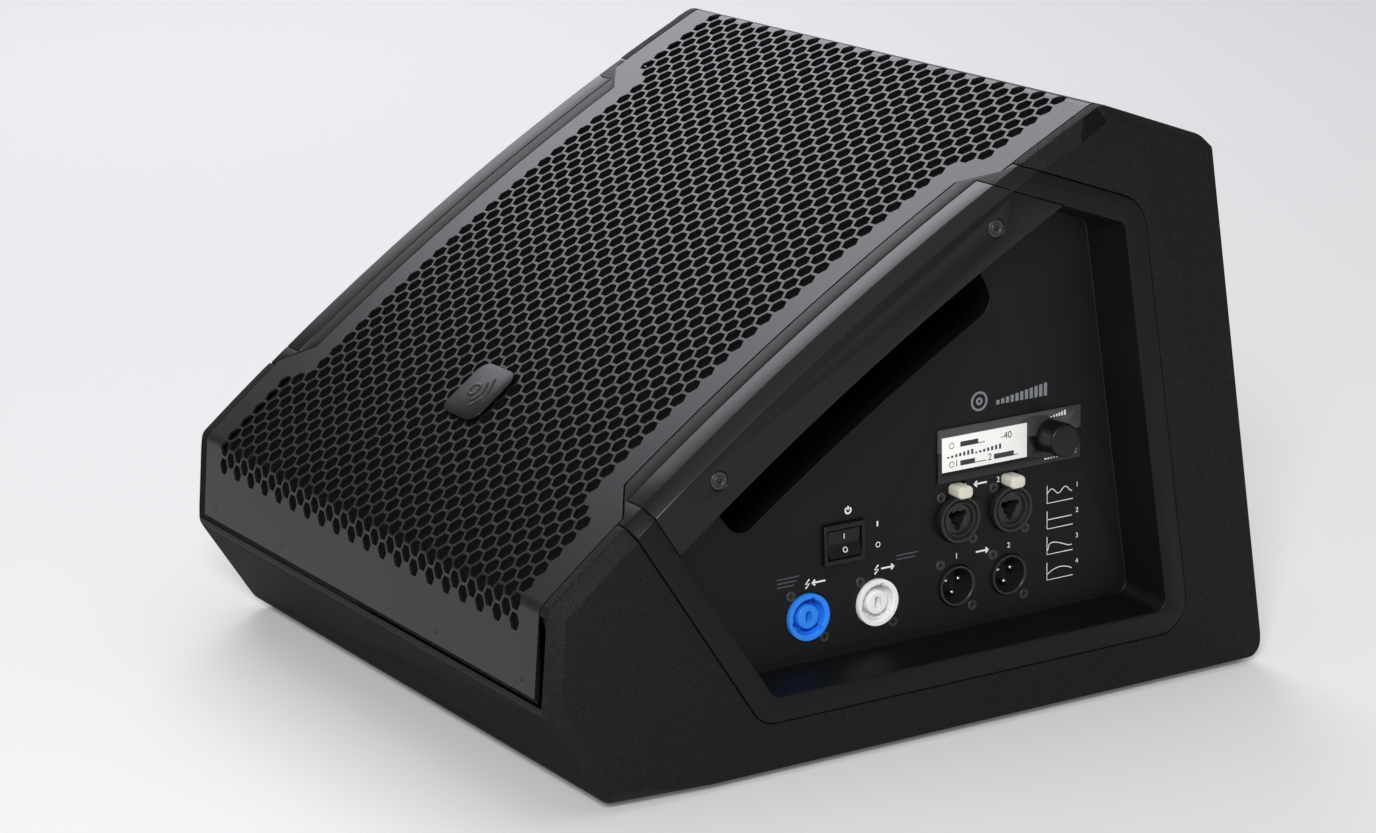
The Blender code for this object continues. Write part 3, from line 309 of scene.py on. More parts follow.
def grain_group():
    """Pebbled grain at two sizes: how high it stands, and where its tops and pits are."""
    group = bpy.data.node_groups.new("pebble_grain", "ShaderNodeTree")
    for name, way in (("Size", "INPUT"), ("Height", "OUTPUT"), ("Fleck", "OUTPUT")):
        group.interface.new_socket(name, in_out=way, socket_type="NodeSocketFloat")
    size = group.nodes.new("NodeGroupInput")
    out = group.nodes.new("NodeGroupOutput")
    place = add_node(group, "TexCoord")
    coarse = add_node(group, "TexNoise", {"Detail": 3.0, "Roughness": 0.65})
    fine = add_node(group, "TexVoronoi")
    fine.feature = "SMOOTH_F1"
    closer = add_node(group, "Math", {1: 1.7})
    closer.operation = "MULTIPLY"
    heap = add_node(group, "Math")
    heap.operation = "SUBTRACT"
    flecks = add_node(group, "MapRange", {"From Min": 0.56, "From Max": 0.72})
    joins = (
        (place.outputs["Object"], coarse.inputs["Vector"]),
        (place.outputs["Object"], fine.inputs["Vector"]),
        (size.outputs["Size"], coarse.inputs["Scale"]),
        (size.outputs["Size"], closer.inputs[0]),
        (closer.outputs[0], fine.inputs["Scale"]),
        (coarse.outputs["Fac"], heap.inputs[0]),
        (fine.outputs["Distance"], heap.inputs[1]),
        (heap.outputs[0], out.inputs["Height"]),
        (coarse.outputs["Fac"], flecks.inputs["Value"]),
        (flecks.outputs["Result"], out.inputs["Fleck"]),
    )
    for start, end in joins:
        group.links.new(start, end)
    return group


PEBBLE_GRAIN = grain_group()


def blend_colours(finish, share, lower, upper):
    """Runs a finish's colour from one to another by a share that changes over it."""
    tree = finish.node_tree
    mix = add_node(tree, "Mix")
    mix.data_type = "RGBA"
    mix.inputs[6].default_value = (*lower, 1.0)
    mix.inputs[7].default_value = (*upper, 1.0)
    tree.links.new(share, mix.inputs[0])
    tree.links.new(mix.outputs[2], shader_of(finish).inputs["Base Color"])


def grained(
    name, colour, roughness, size, strength, distance, metallic=0.0, gloss=0.5, flecks=None, spread=None
):
    """A finish with the pebble grain: bump always, colour and roughness if given."""
    finish = principled(name, colour, roughness, metallic, gloss)
    tree = finish.node_tree
    grain = add_node(tree, "Group")
    grain.node_tree = PEBBLE_GRAIN
    grain.inputs["Size"].default_value = size
    bump = add_node(tree, "Bump", {"Strength": strength, "Distance": distance})
    tree.links.new(grain.outputs["Height"], bump.inputs["Height"])
    tree.links.new(bump.outputs["Normal"], shader_of(finish).inputs["Normal"])
    if flecks:
        blend_colours(finish, grain.outputs["Fleck"], *flecks)
    if spread:
        scatter = add_node(tree, "MapRange", {"To Min": spread[0], "To Max": spread[1]})
        tree.links.new(grain.outputs["Fleck"], scatter.inputs["Value"])
        tree.links.new(scatter.outputs["Result"], shader_of(finish).inputs["Roughness"])
    return finish


COAT_COLOURS = ((0.0025, 0.0025, 0.0027), (0.016, 0.016, 0.017))
coat = grained(
    "polyurea_coat", (0.010, 0.010, 0.011), 0.6, size=900.0, strength=0.75, distance=0.0004,
    gloss=0.26, flecks=COAT_COLOURS, spread=(0.62, 0.45),
)

# The moulding's outline in the side view: slanted toe, underside, back and top.
MOULDING_TOE = (bow(0.0540), Vector((-0.09375, 0.0276)))
MOULDING_BASE = 0.0276
MOULDING_BACK_IN = 0.0445
MOULDING_TOP_IN = 0.0396
MOULDING_ROUNDS = (0.014, 0.016, 0.020)


def crossing(first, second):
    """The corner where two saw cuts meet in the side view."""
    (p, n), (q, m) = first, second
    det = n.x * m.y - n.y * m.x
    a, b = n.dot(p), m.dot(q)
    return Vector(((a * m.y - b * n.y) / det, (n.x * b - m.x * a) / det))


def moulding_cuts(out):
    """Saw cuts round the moulding, all moved outwards together."""
    toe = side_flat(MOULDING_TOE[1], MOULDING_TOE[0], -out)
    base = (Vector((0.0, MOULDING_BASE - out)), Vector((0.0, -1.0)))
    back = side_flat(BROW, HEEL, MOULDING_BACK_IN - out)
    top = side_flat(CREST, BROW, MOULDING_TOP_IN - out)
    return [toe, base, back, top]


def sawn_cabinet(name, half, insets, front_cuts, overhang=0.0):
    """A block sawn to the cabinet's side view, its chin, nose, top and back moved in."""
    chin_in, nose_in, top_in, back_in, base_in = insets
    low = (-half, CHIN.x - 0.02, BASE + base_in)
    made = block(name, low, (half, HEEL.x + 0.02, CREST.y + 0.02 + overhang))
    cuts = [
        side_flat(TOE, CHIN, chin_in),
        side_flat(CHIN, NOSE, nose_in),
        side_flat(CREST, BROW, top_in),
        side_flat(BROW, HEEL, back_in),
    ]
    return saw(made, cuts + front_cuts)


def cabinet():
    bowed = bow_flats()
    base = (TOE, Vector((0.0, -1.0)))
    toe = side_flat(TOE, CHIN)
    nose = side_flat(CHIN, NOSE)
    top = side_flat(CREST, BROW)
    back = side_flat(BROW, HEEL)
    corners = [(TOE, base, toe), (CHIN, toe, nose), (NOSE, nose, bowed[0])]
    corners += [(CREST, bowed[-1], top), (BROW, top, back), (HEEL, back, base)]
    rounds = [round_flats(at, a[1], b[1], CORNER_ROUND) for at, a, b in corners]
    front_edge = [toe, nose] + bowed + rounds[0] + rounds[1] + rounds[2] + rounds[3]
    cuts = front_edge + [back] + rounds[4] + rounds[5]
    cuts += chamfer_cuts(front_edge, FRONT_CHAMFER) + chamfer_cuts([top], TOP_CHAMFER)
    box = saw(sawn_cabinet("coated_cabinet", WIDE, (0.0,) * 5, []), cuts)
    inner = (BOARD, SHEET_REBATE + BOARD, BOARD, BOARD, BOARD)
    front_cut = [(bow(FRONT_LENGTH / 2, -0.02), -INTO_FRONT)]
    hollow = sawn_cabinet("hollow", INSIDE - GLUE_GAP, inner, front_cut)
    core_cut = [(NOSE + INTO_FRONT * BAFFLE_SET, -INTO_FRONT)]
    core = sawn_cabinet("core", INSIDE + 0.01, (0.0, SHEET_REBATE, SHEET_REBATE, 0.0, 0.0), core_cut)
    rebate = block("rebate", (-INSIDE, CHIN.x - 0.03, CHIN.y), (INSIDE, BROW.x, CREST.y + 0.03))
    foot_run = (CHIN - NOSE).normalized()
    tip_run = (BROW - CREST).normalized()
    ends = [(NOSE + foot_run * FLANGE_DROP, foot_run), (CREST + tip_run * TOP_RETURN, tip_run)]
    saw(rebate, ends)
    carve(rebate, core)
    carve(box, hollow)
    carve(box, rebate)
    for side in (-1, 1):
        low_x, high_x = sorted((side * (INSIDE - 0.004), side * (WIDE + 0.01)))
        opening = block("opening", (low_x, NOSE.x - 0.02, BASE), (high_x, HEEL.x, CREST.y))
        cuts = moulding_cuts(MOULDING_GAP)
        saw(opening, cuts)
        for i, radius in enumerate(MOULDING_ROUNDS):
            round_corner(opening, crossing(cuts[i], cuts[i + 1]), radius)
        carve(box, opening)
    return soften(box, 0.0009, 3, 24.0)


panels = ["bottom_panel", "chin_panel", "nose_panel", "top_panel", "back_panel"]
panels += ["right_side_panel", "left_side_panel"]
dress(cabinet(), coat, nodes=panels)


# ---- Grille -------------------------------------------------------------------------------
# One sheet of 1.5 mm steel, punched with a honeycomb of hexagonal holes, bent over the nose
# and the crest of the cabinet and powder-coated satin black. It is notched at both sides for
# the carrying mouldings, and its margins are left unpunched.
SHEET = 0.0015
GRILLE_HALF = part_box("grille")[1].x
HOLE_ACROSS = 0.0082
HOLE_PITCH = 0.00976
COLUMN = HOLE_PITCH * math.cos(math.radians(30.0))
LOWEST_ROW = -0.0117
NOTCH_HALF = 0.1632
NOTCH_LOW = (0.0570, 0.0730)
NOTCH_HIGH = (0.2970, 0.3120)
SIDE_MARGIN = 0.0203
SLANT_MARGIN = 0.0160
NOSE_TANGENT = 0.0034
CREST_TANGENT = 0.0036
NOSE_RUN = (NOSE - CHIN).normalized()
TOP_RUN = (BROW - CREST).normalized()
LATTICE_ROWS = 48
LATTICE_HALF_COLUMNS = 22


def bend_arc(corner, before, after, share, tangent):
    """A point on the arc that rounds a corner, and the direction into the cabinet there."""
    start = corner - before * tangent
    turn = -before.angle_signed(after)
    radius = tangent / math.tan(abs(turn) / 2)
    centre = start + Vector((before.y, -before.x)) * radius
    angle = -abs(turn) * share
    arm = start - centre
    cos, sin = math.cos(angle), math.sin(angle)
    arm = Vector((arm.x * cos - arm.y * sin, arm.x * sin + arm.y * cos))
    return centre + arm, -arm.normalized()


def over_cabinet(distance):
    """Where the bent sheet's outer face is, counted from the nose: (place, direction in)."""
    bow_start = Vector(bow(0.0001) - bow(0.0)).normalized()
    bow_end = Vector(bow(FRONT_LENGTH) - bow(FRONT_LENGTH - 0.0001)).normalized()
    if distance < -NOSE_TANGENT:
        return NOSE + NOSE_RUN * distance, Vector((NOSE_RUN.y, -NOSE_RUN.x))
    if distance < NOSE_TANGENT:
        share = (distance + NOSE_TANGENT) / (2 * NOSE_TANGENT)
        return bend_arc(NOSE, NOSE_RUN, bow_start, share, NOSE_TANGENT)
    if distance < FRONT_LENGTH - CREST_TANGENT:
        place = bow(distance)
        return place, (BOW_MIDDLE - place).normalized()
    if distance < FRONT_LENGTH + CREST_TANGENT:
        share = (distance - FRONT_LENGTH + CREST_TANGENT) / (2 * CREST_TANGENT)
        return bend_arc(CREST, bow_end, TOP_RUN, share, CREST_TANGENT)
    return CREST + TOP_RUN * (distance - FRONT_LENGTH), Vector((TOP_RUN.y, -TOP_RUN.x))


def lay_over_cabinet(piece, depth):
    """Bends a flat sheet, drawn as (across, along), over the front of the cabinet."""
    for vertex in piece.data.vertices:
        place, inward = over_cabinet(vertex.co.y)
        place = place + inward * depth
        vertex.co = (vertex.co.x, place.x, place.y)


def thicken(sheet, thickness, least):
    """Gives a bent sheet its thickness, inwards from its outer face."""
    gauge = sheet.modifiers.new("gauge", "SOLIDIFY")
    gauge.thickness = thickness
    gauge.offset = -1.0
    settle(sheet)
    bpy.ops.object.shade_smooth_by_angle(angle=math.radians(least))
    return sheet


def punched(across, along):
    """Whether the punch makes a hole at this place on the flat sheet."""
    across = abs(across)
    if across > GRILLE_HALF - SIDE_MARGIN or not LOWEST_ROW - 0.001 < along < FRONT_LENGTH - 0.003:
        return False
    if across < NOTCH_HALF + 0.0008 - SIDE_MARGIN:
        return True
    slant = Vector((NOTCH_LOW[1] - NOTCH_LOW[0], INSIDE - NOTCH_HALF)).normalized()
    below = (INSIDE - across) * slant.x + (NOTCH_LOW[0] - along) * slant.y
    above = (INSIDE - across) * slant.x + (along - NOTCH_HIGH[1]) * slant.y
    return below > SLANT_MARGIN or above > SLANT_MARGIN


def lattice_strip(name, first_column, first_row, count):
    """Every second column of honeycomb cells, each a hexagonal web round an inner hexagon."""
    bpy.ops.mesh.primitive_circle_add(
        vertices=6, radius=HOLE_PITCH / math.sqrt(3), fill_type="NGON", location=(0, 0, 0)
    )
    cell = bpy.context.object
    cell.name = name
    cell.rotation_euler.z = math.radians(30.0)
    settle(cell)
    edit(cell)
    bpy.ops.mesh.select_mode(type="FACE")
    bpy.ops.mesh.select_all(action="SELECT")
    bpy.ops.mesh.inset(thickness=(HOLE_PITCH - HOLE_ACROSS) / 2)
    done()
    cell.location = (first_column * COLUMN, first_row, 0.0)
    settle(cell)
    for number, step in ((LATTICE_ROWS, (0.0, HOLE_PITCH, 0.0)), (count, (2 * COLUMN, 0.0, 0.0))):
        row = cell.modifiers.new("row", "ARRAY")
        row.use_relative_offset = False
        row.use_constant_offset = True
        row.constant_offset_displace = step
        row.count = number
    return settle(cell)


def trim_sheet(sheet):
    """Cuts the flat sheet to its outline, and in narrow strips where it is to be bent."""
    foot = -FLANGE_DROP
    tip = FRONT_LENGTH + TOP_RETURN
    outline = [((GRILLE_HALF, 0), (1, 0)), ((-GRILLE_HALF, 0), (-1, 0))]
    outline += [((0, foot), (0, -1)), ((0, tip), (0, 1))]
    creases = []
    for i in range(6):
        share = 2 * i / 5 - 1
        creases.append(((0, NOSE_TANGENT * share), (0, 1)))
        creases.append(((0, FRONT_LENGTH + CREST_TANGENT * share), (0, 1)))
    reach = INSIDE - NOTCH_HALF
    for side in (-1, 1):
        creases.append(((side * NOTCH_HALF, 0), (1, 0)))
        low_lean = (NOTCH_LOW[1] - NOTCH_LOW[0], side * reach)
        high_lean = (NOTCH_HIGH[0] - NOTCH_HIGH[1], side * reach)
        creases.append(((side * INSIDE, NOTCH_LOW[0]), low_lean))
        creases.append(((side * INSIDE, NOTCH_HIGH[1]), high_lean))
    edit(sheet)
    for number, (place, across) in enumerate(outline + creases):
        bpy.ops.mesh.select_all(action="SELECT")
        bpy.ops.mesh.bisect(
            plane_co=(*place, 0.0),
            plane_no=(*across, 0.0),
            clear_outer=number < len(outline),
            threshold=KERF,
        )

    def in_notch(face):
        middle = face.calc_center_median()
        share = (abs(middle.x) - NOTCH_HALF) / reach
        low = NOTCH_LOW[1] + (NOTCH_LOW[0] - NOTCH_LOW[1]) * share
        high = NOTCH_HIGH[0] + (NOTCH_HIGH[1] - NOTCH_HIGH[0]) * share
        return share > 0 and low < middle.y < high

    choose(sheet, "FACE", in_notch)
    bpy.ops.mesh.delete(type="FACE")
    done()


def flat_lattice(name):
    """The whole honeycomb lying flat, its two sets of columns joined into one sheet."""
    odd_half = LATTICE_HALF_COLUMNS // 2 * 2 + 1
    odd_row = LOWEST_ROW - 4 * HOLE_PITCH
    odd = lattice_strip(name, -odd_half, odd_row, odd_half + 1)
    even = lattice_strip("even_columns", -odd_half + 1, odd_row + HOLE_PITCH / 2, odd_half)
    pick(odd, even)
    bpy.ops.object.join()
    bpy.ops.object.mode_set(mode="EDIT")
    bpy.ops.mesh.select_all(action="SELECT")
    bpy.ops.mesh.remove_doubles(threshold=MERGE)
    done()
    return odd


def grille():
    sheet = flat_lattice("perforated_grille")
    hole_area = HOLE_ACROSS**2 * math.sqrt(3) / 2

    def is_hole(face):
        middle = face.calc_center_median()
        return abs(face.calc_area() - hole_area) < hole_area * 0.02 and punched(middle.x, middle.y)

    edit(sheet)
    choose(sheet, "FACE", is_hole)
    bpy.ops.mesh.delete(type="FACE")
    done()
    trim_sheet(sheet)
    lay_over_cabinet(sheet, 0.0)
    return thicken(sheet, SHEET, 28.0)


powder = grained(
    "satin_powder_coat", (0.006, 0.006, 0.0085), 0.38, size=1500.0, strength=0.12, distance=0.0002
)
dress(grille(), powder, nodes=["grille"])


# ---- Foam behind the grille ---------------------------------------------------------------
# A thin black open-cell foam is glued to the back of the sheet and keeps light and dust off
# the driver. It follows the sheet over both bends.
FOAM_THICK = 0.0004


def grille_lining():
    foot = -FLANGE_DROP + 0.012
    tip = FRONT_LENGTH + 0.010
    bpy.ops.mesh.primitive_grid_add(x_subdivisions=24, y_subdivisions=160, size=1.0)
    lining = bpy.context.object
    lining.name = "grille_lining"
    lining.scale = (2 * (NOTCH_HALF - 0.0006), tip - foot, 1.0)
    lining.location = (0.0, (tip + foot) / 2, 0.0)
    settle(lining)
    lay_over_cabinet(lining, SHEET + 0.0001)
    return thicken(lining, FOAM_THICK, 40.0)


foam = grained(
    "open_cell_foam", (0.004, 0.004, 0.004), 0.95, size=1100.0, strength=0.9, distance=0.0006, gloss=0.1
)
dress(grille_lining(), foam, nodes=["grille_foam"])


# ---- Side mouldings -----------------------------------------------------------------------
# A glass-filled nylon moulding is let into each side. Its sloping walls run down to a flat
# panel, and behind the carrying edge it forms a deep finger pocket. The surface has the fine
# spark-eroded grain of a tool.
MOULDED_EDGE = 0.0006
nylon = grained(
    "grained_nylon", (0.0028, 0.0028, 0.003), 0.46, size=2600.0, strength=0.25, distance=0.00012, gloss=0.26
)
for side_word in ("right", "left"):
    renewed(side_word + "_tray", side_word + "_moulding", nylon, MOULDED_EDGE)


# ---- Carrying edge covers -----------------------------------------------------------------
# A smoother L-section strip covers each carrying edge. It is chamfered along its front
# corner and held by two socket screws.
strip_plastic = grained(
    "satin_strip", (0.004, 0.004, 0.0048), 0.36, size=2400.0, strength=0.12, distance=0.0001, gloss=0.36
)
for side_word in ("right", "left"):
    cover = side_word + "_grip_cover"
    renewed(cover, side_word + "_carrying_edge", strip_plastic, MOULDED_EDGE)


# ---- Badge --------------------------------------------------------------------------------
# A rounded-square plate of dark anodised aluminium is riveted to the grille. Its emblem is a
# plain loudspeaker sign inlaid in black.
BADGE_ALONG = 0.0865
EMBLEM_LINE = 0.0021
EMBLEM_AT = (-0.004, 0.0)


def middle(node):
    """The middle of a frame node's box."""
    low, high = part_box(node)
    return (Vector(low) + Vector(high)) / 2


def arc(centre, radius, start, end, count=14):
    """Points along an arc, its ends given in degrees."""
    points = []
    for i in range(count + 1):
        turn = math.radians(start + (end - start) * i / count)
        points.append((centre[0] + radius * math.cos(turn), centre[1] + radius * math.sin(turn)))
    return points


def line(points, width, closed=False):
    """A raised or printed line drawn with a round pen and pressed nearly flat."""
    drawn = bpy.data.curves.new("line", "CURVE")
    drawn.dimensions = "3D"
    drawn.bevel_depth = width / 2
    drawn.bevel_resolution = 1
    drawn.use_fill_caps = not closed
    path = drawn.splines.new("POLY")
    path.points.add(len(points) - 1)
    for point, (across, up) in zip(path.points, points):
        point.co = (across, up, 0.0, 1.0)
    path.use_cyclic_u = closed
    made = bpy.data.objects.new("line", drawn)
    bpy.context.scene.collection.objects.link(made)
    pick(made)
    bpy.ops.object.convert(target="MESH")
    made.scale.z = 0.2
    return settle(made)


def ring(centre, radius, width, count=20):
    """A closed ring drawn with the same pen."""
    return line(arc(centre, radius, 0, 360, count)[:-1], width, True)


def joined(name, marks):
    """Several marks as one piece."""
    pick(*marks)
    bpy.ops.object.join()
    marks[0].name = name
    return marks[0]


anodised = grained(
    "anodised_plate", (0.026, 0.026, 0.028), 0.36, size=3000.0, strength=0.06, distance=0.00005, metallic=0.85
)
cut_metal = principled("inlaid_black", (0.004, 0.004, 0.004), 0.35)
renewed("grille_badge", "badge_plate", anodised, 0.0004)
rings = [ring(EMBLEM_AT, 0.0035, EMBLEM_LINE, 14)]
rings += [line(arc(EMBLEM_AT, radius, -52, 52), EMBLEM_LINE) for radius in (0.0078, 0.0118)]
emblem = joined("badge_emblem", rings)
badge_place, badge_in = over_cabinet(BADGE_ALONG)
badge_top = badge_place - badge_in * 0.0020
emblem.rotation_euler.x = math.atan2(badge_in.x, -badge_in.y)
emblem.location = (middle("grille_badge").x, badge_top.x, badge_top.y)
dress(settle(emblem), cut_metal)


# ---- Case screws --------------------------------------------------------------------------
# Black zinc-plated screws: four with a socket head hold the carrying edge covers, and four
# countersunk ones with a cross recess hold the grille's lower flange.
GRILLE_SCREW_DROP = 0.0370
GRIP_HEAD = 0.0045
CROSS_HEAD = 0.0027


def turned(name, radius, low, top, steps, sides=64):
    """A round piece turned from bar, its top face stepped (inwards, up) again and again."""
    bpy.ops.mesh.primitive_cylinder_add(
        vertices=sides, radius=radius, depth=top - low, location=(0.0, 0.0, (top + low) / 2)
    )
    made = bpy.context.object
    made.name = name
    settle(made)
    edit(made)
    choose(made, "FACE", lambda face: face.normal.z > 0.9)
    for inwards, up in steps:
        bpy.ops.mesh.inset(thickness=inwards, depth=up)
    done()
    return made


def cross_screw(name):
    head = turned(name, CROSS_HEAD, -0.0022, 0.0001, [(0.0003, 0.0002), (0.0008, 0.0), (0.0002, -0.0001)], 40)
    across = block("across", (-0.0015, -0.0003, -0.0014), (0.0015, 0.0003, 0.001))
    upright = block("upright", (-0.0003, -0.0015, -0.0014), (0.0003, 0.0015, 0.001))
    carve(head, across)
    carve(head, upright)
    return soften(head, 0.00008, 2, 30.0)


def socket_screw(name):
    steps = [(0.0003, 0.0003), (0.0014, 0.0), (0.0003, -0.0005), (0.0003, 0.0003)]
    head = turned(name, GRIP_HEAD, -0.0026, -0.0004, steps, 48)
    carve(head, turned("socket", 0.0016, -0.0018, 0.001, [], 6))
    return soften(head, 0.0001, 2, 28.0)


def another(piece, name):
    """One more of a piece, with a mesh of its own."""
    copy = piece.copy()
    copy.data = piece.data.copy()
    copy.name = name
    bpy.context.scene.collection.objects.link(copy)
    return copy


def facing_side(piece, side, y, z, out):
    """Turns a piece drawn flat so that it faces out of one side."""
    piece.rotation_euler = (math.radians(90.0), 0.0, math.radians(90.0 * side))
    piece.location = (side * out, y, z)
    return settle(piece)


zinc = grained(
    "black_zinc", (0.060, 0.060, 0.062), 0.42, size=2200.0, strength=0.08, distance=0.00008, metallic=0.7
)
grip_pattern = socket_screw("grip_pattern")
for side, side_word in ((1, "right"), (-1, "left")):
    for number in (1, 2):
        node = f"{side_word}_grip_screw_{number}"
        screw = another(grip_pattern, f"{side_word}_cover_screw_{number}")
        at = middle(node)
        facing_side(screw, side, at.y, at.z, WIDE)
        dress(screw, zinc, nodes=[node])
bpy.data.objects.remove(grip_pattern)
cross_pattern = cross_screw("cross_pattern")
flange_out = Vector((-NOSE_RUN.y, NOSE_RUN.x))
for number in range(1, 5):
    screw = another(cross_pattern, f"flange_screw_{number}")
    at = NOSE - NOSE_RUN * GRILLE_SCREW_DROP - flange_out * 0.0002
    screw.rotation_euler.x = math.atan2(-flange_out.x, flange_out.y)
    screw.location = (middle(f"grille_screw_{number}").x, at.x, at.y)
    dress(settle(screw), zinc, nodes=[f"grille_screw_{number}"])


# ---- Mains connectors ---------------------------------------------------------------------
# Two locking mains connectors of glass-filled nylon, blue for the inlet and white for the
# outlet. Each has a wide lip, a ring-shaped channel with three key notches, and a boss with
# an oblong hole. They are let in from behind and held by two cross-head screws.
PANEL_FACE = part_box("display_window")[0].x - 0.0003
SCREW_FROM_MIDDLE = (0.0095, 0.0120)


def socket_place(node):
    """Middle and radius of a round connector, from the lower part of its box."""
    low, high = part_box(node)
    radius = (high.y - low.y) / 2
    return (low.y + high.y) / 2, low.z + radius, radius, high.x - PANEL_FACE


def mains_connector(name, node, finish):
    y, z, radius, lip = socket_place(node)
    steps = [(0.0005, 0.0), (0.0019, 0.0), (0.0005, -0.0007), (0.0002, -0.0090), (0.0025, 0.0)]
    steps += [(0.0002, 0.0086), (0.0005, 0.0003), (0.0030, 0.0)]
    body = turned(name, radius, -0.020, lip, steps)
    slit = block("slit", (-0.0015, -0.0028, -0.010), (0.0015, 0.0028, 0.01))
    soften(slit, 0.0012, 4)
    carve(body, slit)
    for turn in (75.0, 195.0, 315.0):
        key = block("key", (0.0080, -0.0011, -0.0075), (0.0100, 0.0011, lip + 0.001))
        key.rotation_euler.z = math.radians(turn)
        carve(body, settle(key))
    soften(body, 0.0002, 2, 30.0)
    facing_side(body, 1, y, z, PANEL_FACE)
    dress(body, finish, nodes=[node])


def panel_screws(name, y, z):
    """The two screws beside a connector: upper left and lower right."""
    for number, way in enumerate((1, -1), 1):
        screw = another(cross_pattern, f"{name}_screw_{number}")
        facing_side(screw, 1, y - way * SCREW_FROM_MIDDLE[0], z + way * SCREW_FROM_MIDDLE[1], PANEL_FACE)
        dress(screw, zinc)


blue_nylon = grained("blue_nylon", (0.018, 0.23, 0.85), 0.42, size=2500.0, strength=0.05, distance=0.00005)
milky(blue_nylon, 0.15, 0.002)
white_nylon = grained("white_nylon", (0.84, 0.84, 0.83), 0.42, size=2500.0, strength=0.05, distance=0.00005)
mains_connector("mains_inlet", "power_inlet", blue_nylon)
mains_connector("mains_outlet", "power_outlet", white_nylon)
for node, name in (("power_inlet", "inlet"), ("power_outlet", "outlet")):
    panel_screws(name, *socket_place(node)[:2])


# ---- Signal inputs ------------------------------------------------------------------------
# Two combined jack and three-pole inputs of semi-gloss black nylon, standing a little proud
# in stepped rings. A sprung cream push tab over each one lets the plug go.
PIN_TURNS = (30.0, 150.0, 270.0)
PIN_CIRCLE = 0.0044


def at_pin(piece, turn):
    """Moves a piece from the middle of a connector to one of its pins."""
    way = math.radians(turn)
    piece.location = (PIN_CIRCLE * math.cos(way), PIN_CIRCLE * math.sin(way), 0.0)
    return settle(piece)


def combo_input(number):
    node = f"combo_input_{number}"
    y, z, radius, lip = socket_place(node)
    steps = [(0.0004, 0.0), (0.0010, 0.0), (0.0006, -0.0016), (0.0006, 0.0), (0.0004, 0.0010), (0.0008, 0.0)]
    steps += [(0.0005, -0.0022), (0.0022, 0.0), (0.0005, -0.0004), (0.0010, 0.0), (0.0006, -0.0200)]
    body = turned(f"signal_input_{number}", radius, -0.024, lip, steps)
    for turn in PIN_TURNS:
        carve(body, at_pin(turned("lobe", 0.0016, -0.012, 0.01, [], 32), turn))
    tab_low, tab_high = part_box(f"combo_tab_{number}")
    slack = 0.0003
    low = (tab_low.y - y - slack, tab_low.z - z - slack, -0.010)
    carve(body, block("tab_slot", low, (tab_high.y - y + slack, radius + 0.01, lip + 0.01)))
    soften(body, 0.00018, 2, 30.0)
    facing_side(body, 1, y, z, PANEL_FACE)
    dress(body, gloss_black, nodes=[node])
    panel_screws(f"input_{number}", y, z)
    tab = f"combo_tab_{number}"
    renewed(tab, f"release_tab_{number}", cream, 0.0004, body=f"tab_{number}")


gloss_black = grained(
    "semi_gloss_black", (0.011, 0.011, 0.012), 0.30, size=2600.0, strength=0.05, distance=0.00005
)
cream = grained("cream_plastic", (0.70, 0.67, 0.58), 0.4, size=2500.0, strength=0.05, distance=0.00005)
milky(cream, 0.1, 0.001)
for number in (1, 2):
    combo_input(number)


# ---- Through outputs ----------------------------------------------------------------------
# Two three-pole outputs: a flush ring round a dark well in which three silver-plated pins
# stand.
def thru_output(number):
    node = f"thru_output_{number}"
    y, z, radius, lip = socket_place(node)
    steps = [(0.0003, 0.0), (0.0008, 0.0), (0.0004, -0.0005), (0.0002, -0.0140)]
    body = soften(turned(f"signal_output_{number}", radius, -0.018, lip, steps), 0.00018, 2, 30.0)
    facing_side(body, 1, y, z, PANEL_FACE)
    dress(body, gloss_black, nodes=[node])
    pins = []
    for turn in PIN_TURNS:
        pin = turned("pin", 0.00115, -0.0145, -0.0042, [(0.0003, 0.0005), (0.0004, 0.0002)], 24)
        pins.append(at_pin(pin, turn))
    three = soften(joined(f"output_pins_{number}", pins), 0.0001, 2, 30.0)
    facing_side(three, 1, y, z, PANEL_FACE)
    dress(three, silver)
    panel_screws(f"output_{number}", y, z)


silver = principled("silver_plate", (0.86, 0.86, 0.84), 0.22, 1.0)
for number in (1, 2):
    thru_output(number)
bpy.data.objects.remove(cross_pattern)


# ---- Mains switch -------------------------------------------------------------------------
# A single rocker in a snap-in bezel of black nylon, marked with a white bar and ring. Its
# upper half is pressed in.
ROCKER_TILT = 8.0
ROCKER_SLOPE = 11.6
MARK_LINE = 0.0005
STUCK_DOWN = 0.00027
white_ink = principled("white_ink", (0.85, 0.85, 0.85), 0.5)
renewed("switch_bezel", "mains_bezel", strip_plastic, 0.0003, sunk=STUCK_DOWN)
renewed(
    "switch_rocker", "mains_rocker", strip_plastic, 0.0004, least=12.0, body="rocker"
)
switch_at = middle("switch_bezel")
ring_mark = ring((0.0, -0.0033), 0.0012, MARK_LINE, 24)
ring_mark.rotation_euler.x = -math.radians(ROCKER_SLOPE + ROCKER_TILT)
bar_mark = line([(0.0, 0.0022), (0.0, 0.0048)], MARK_LINE)
bar_mark.rotation_euler.x = math.radians(ROCKER_SLOPE - ROCKER_TILT)
for mark, name in ((ring_mark, "rocker_ring_mark"), (bar_mark, "rocker_bar_mark")):
    mark.name = name
    facing_side(settle(mark), 1, switch_at.y, switch_at.z, PANEL_FACE + 0.00062)
    dress(mark, white_ink, body="rocker")


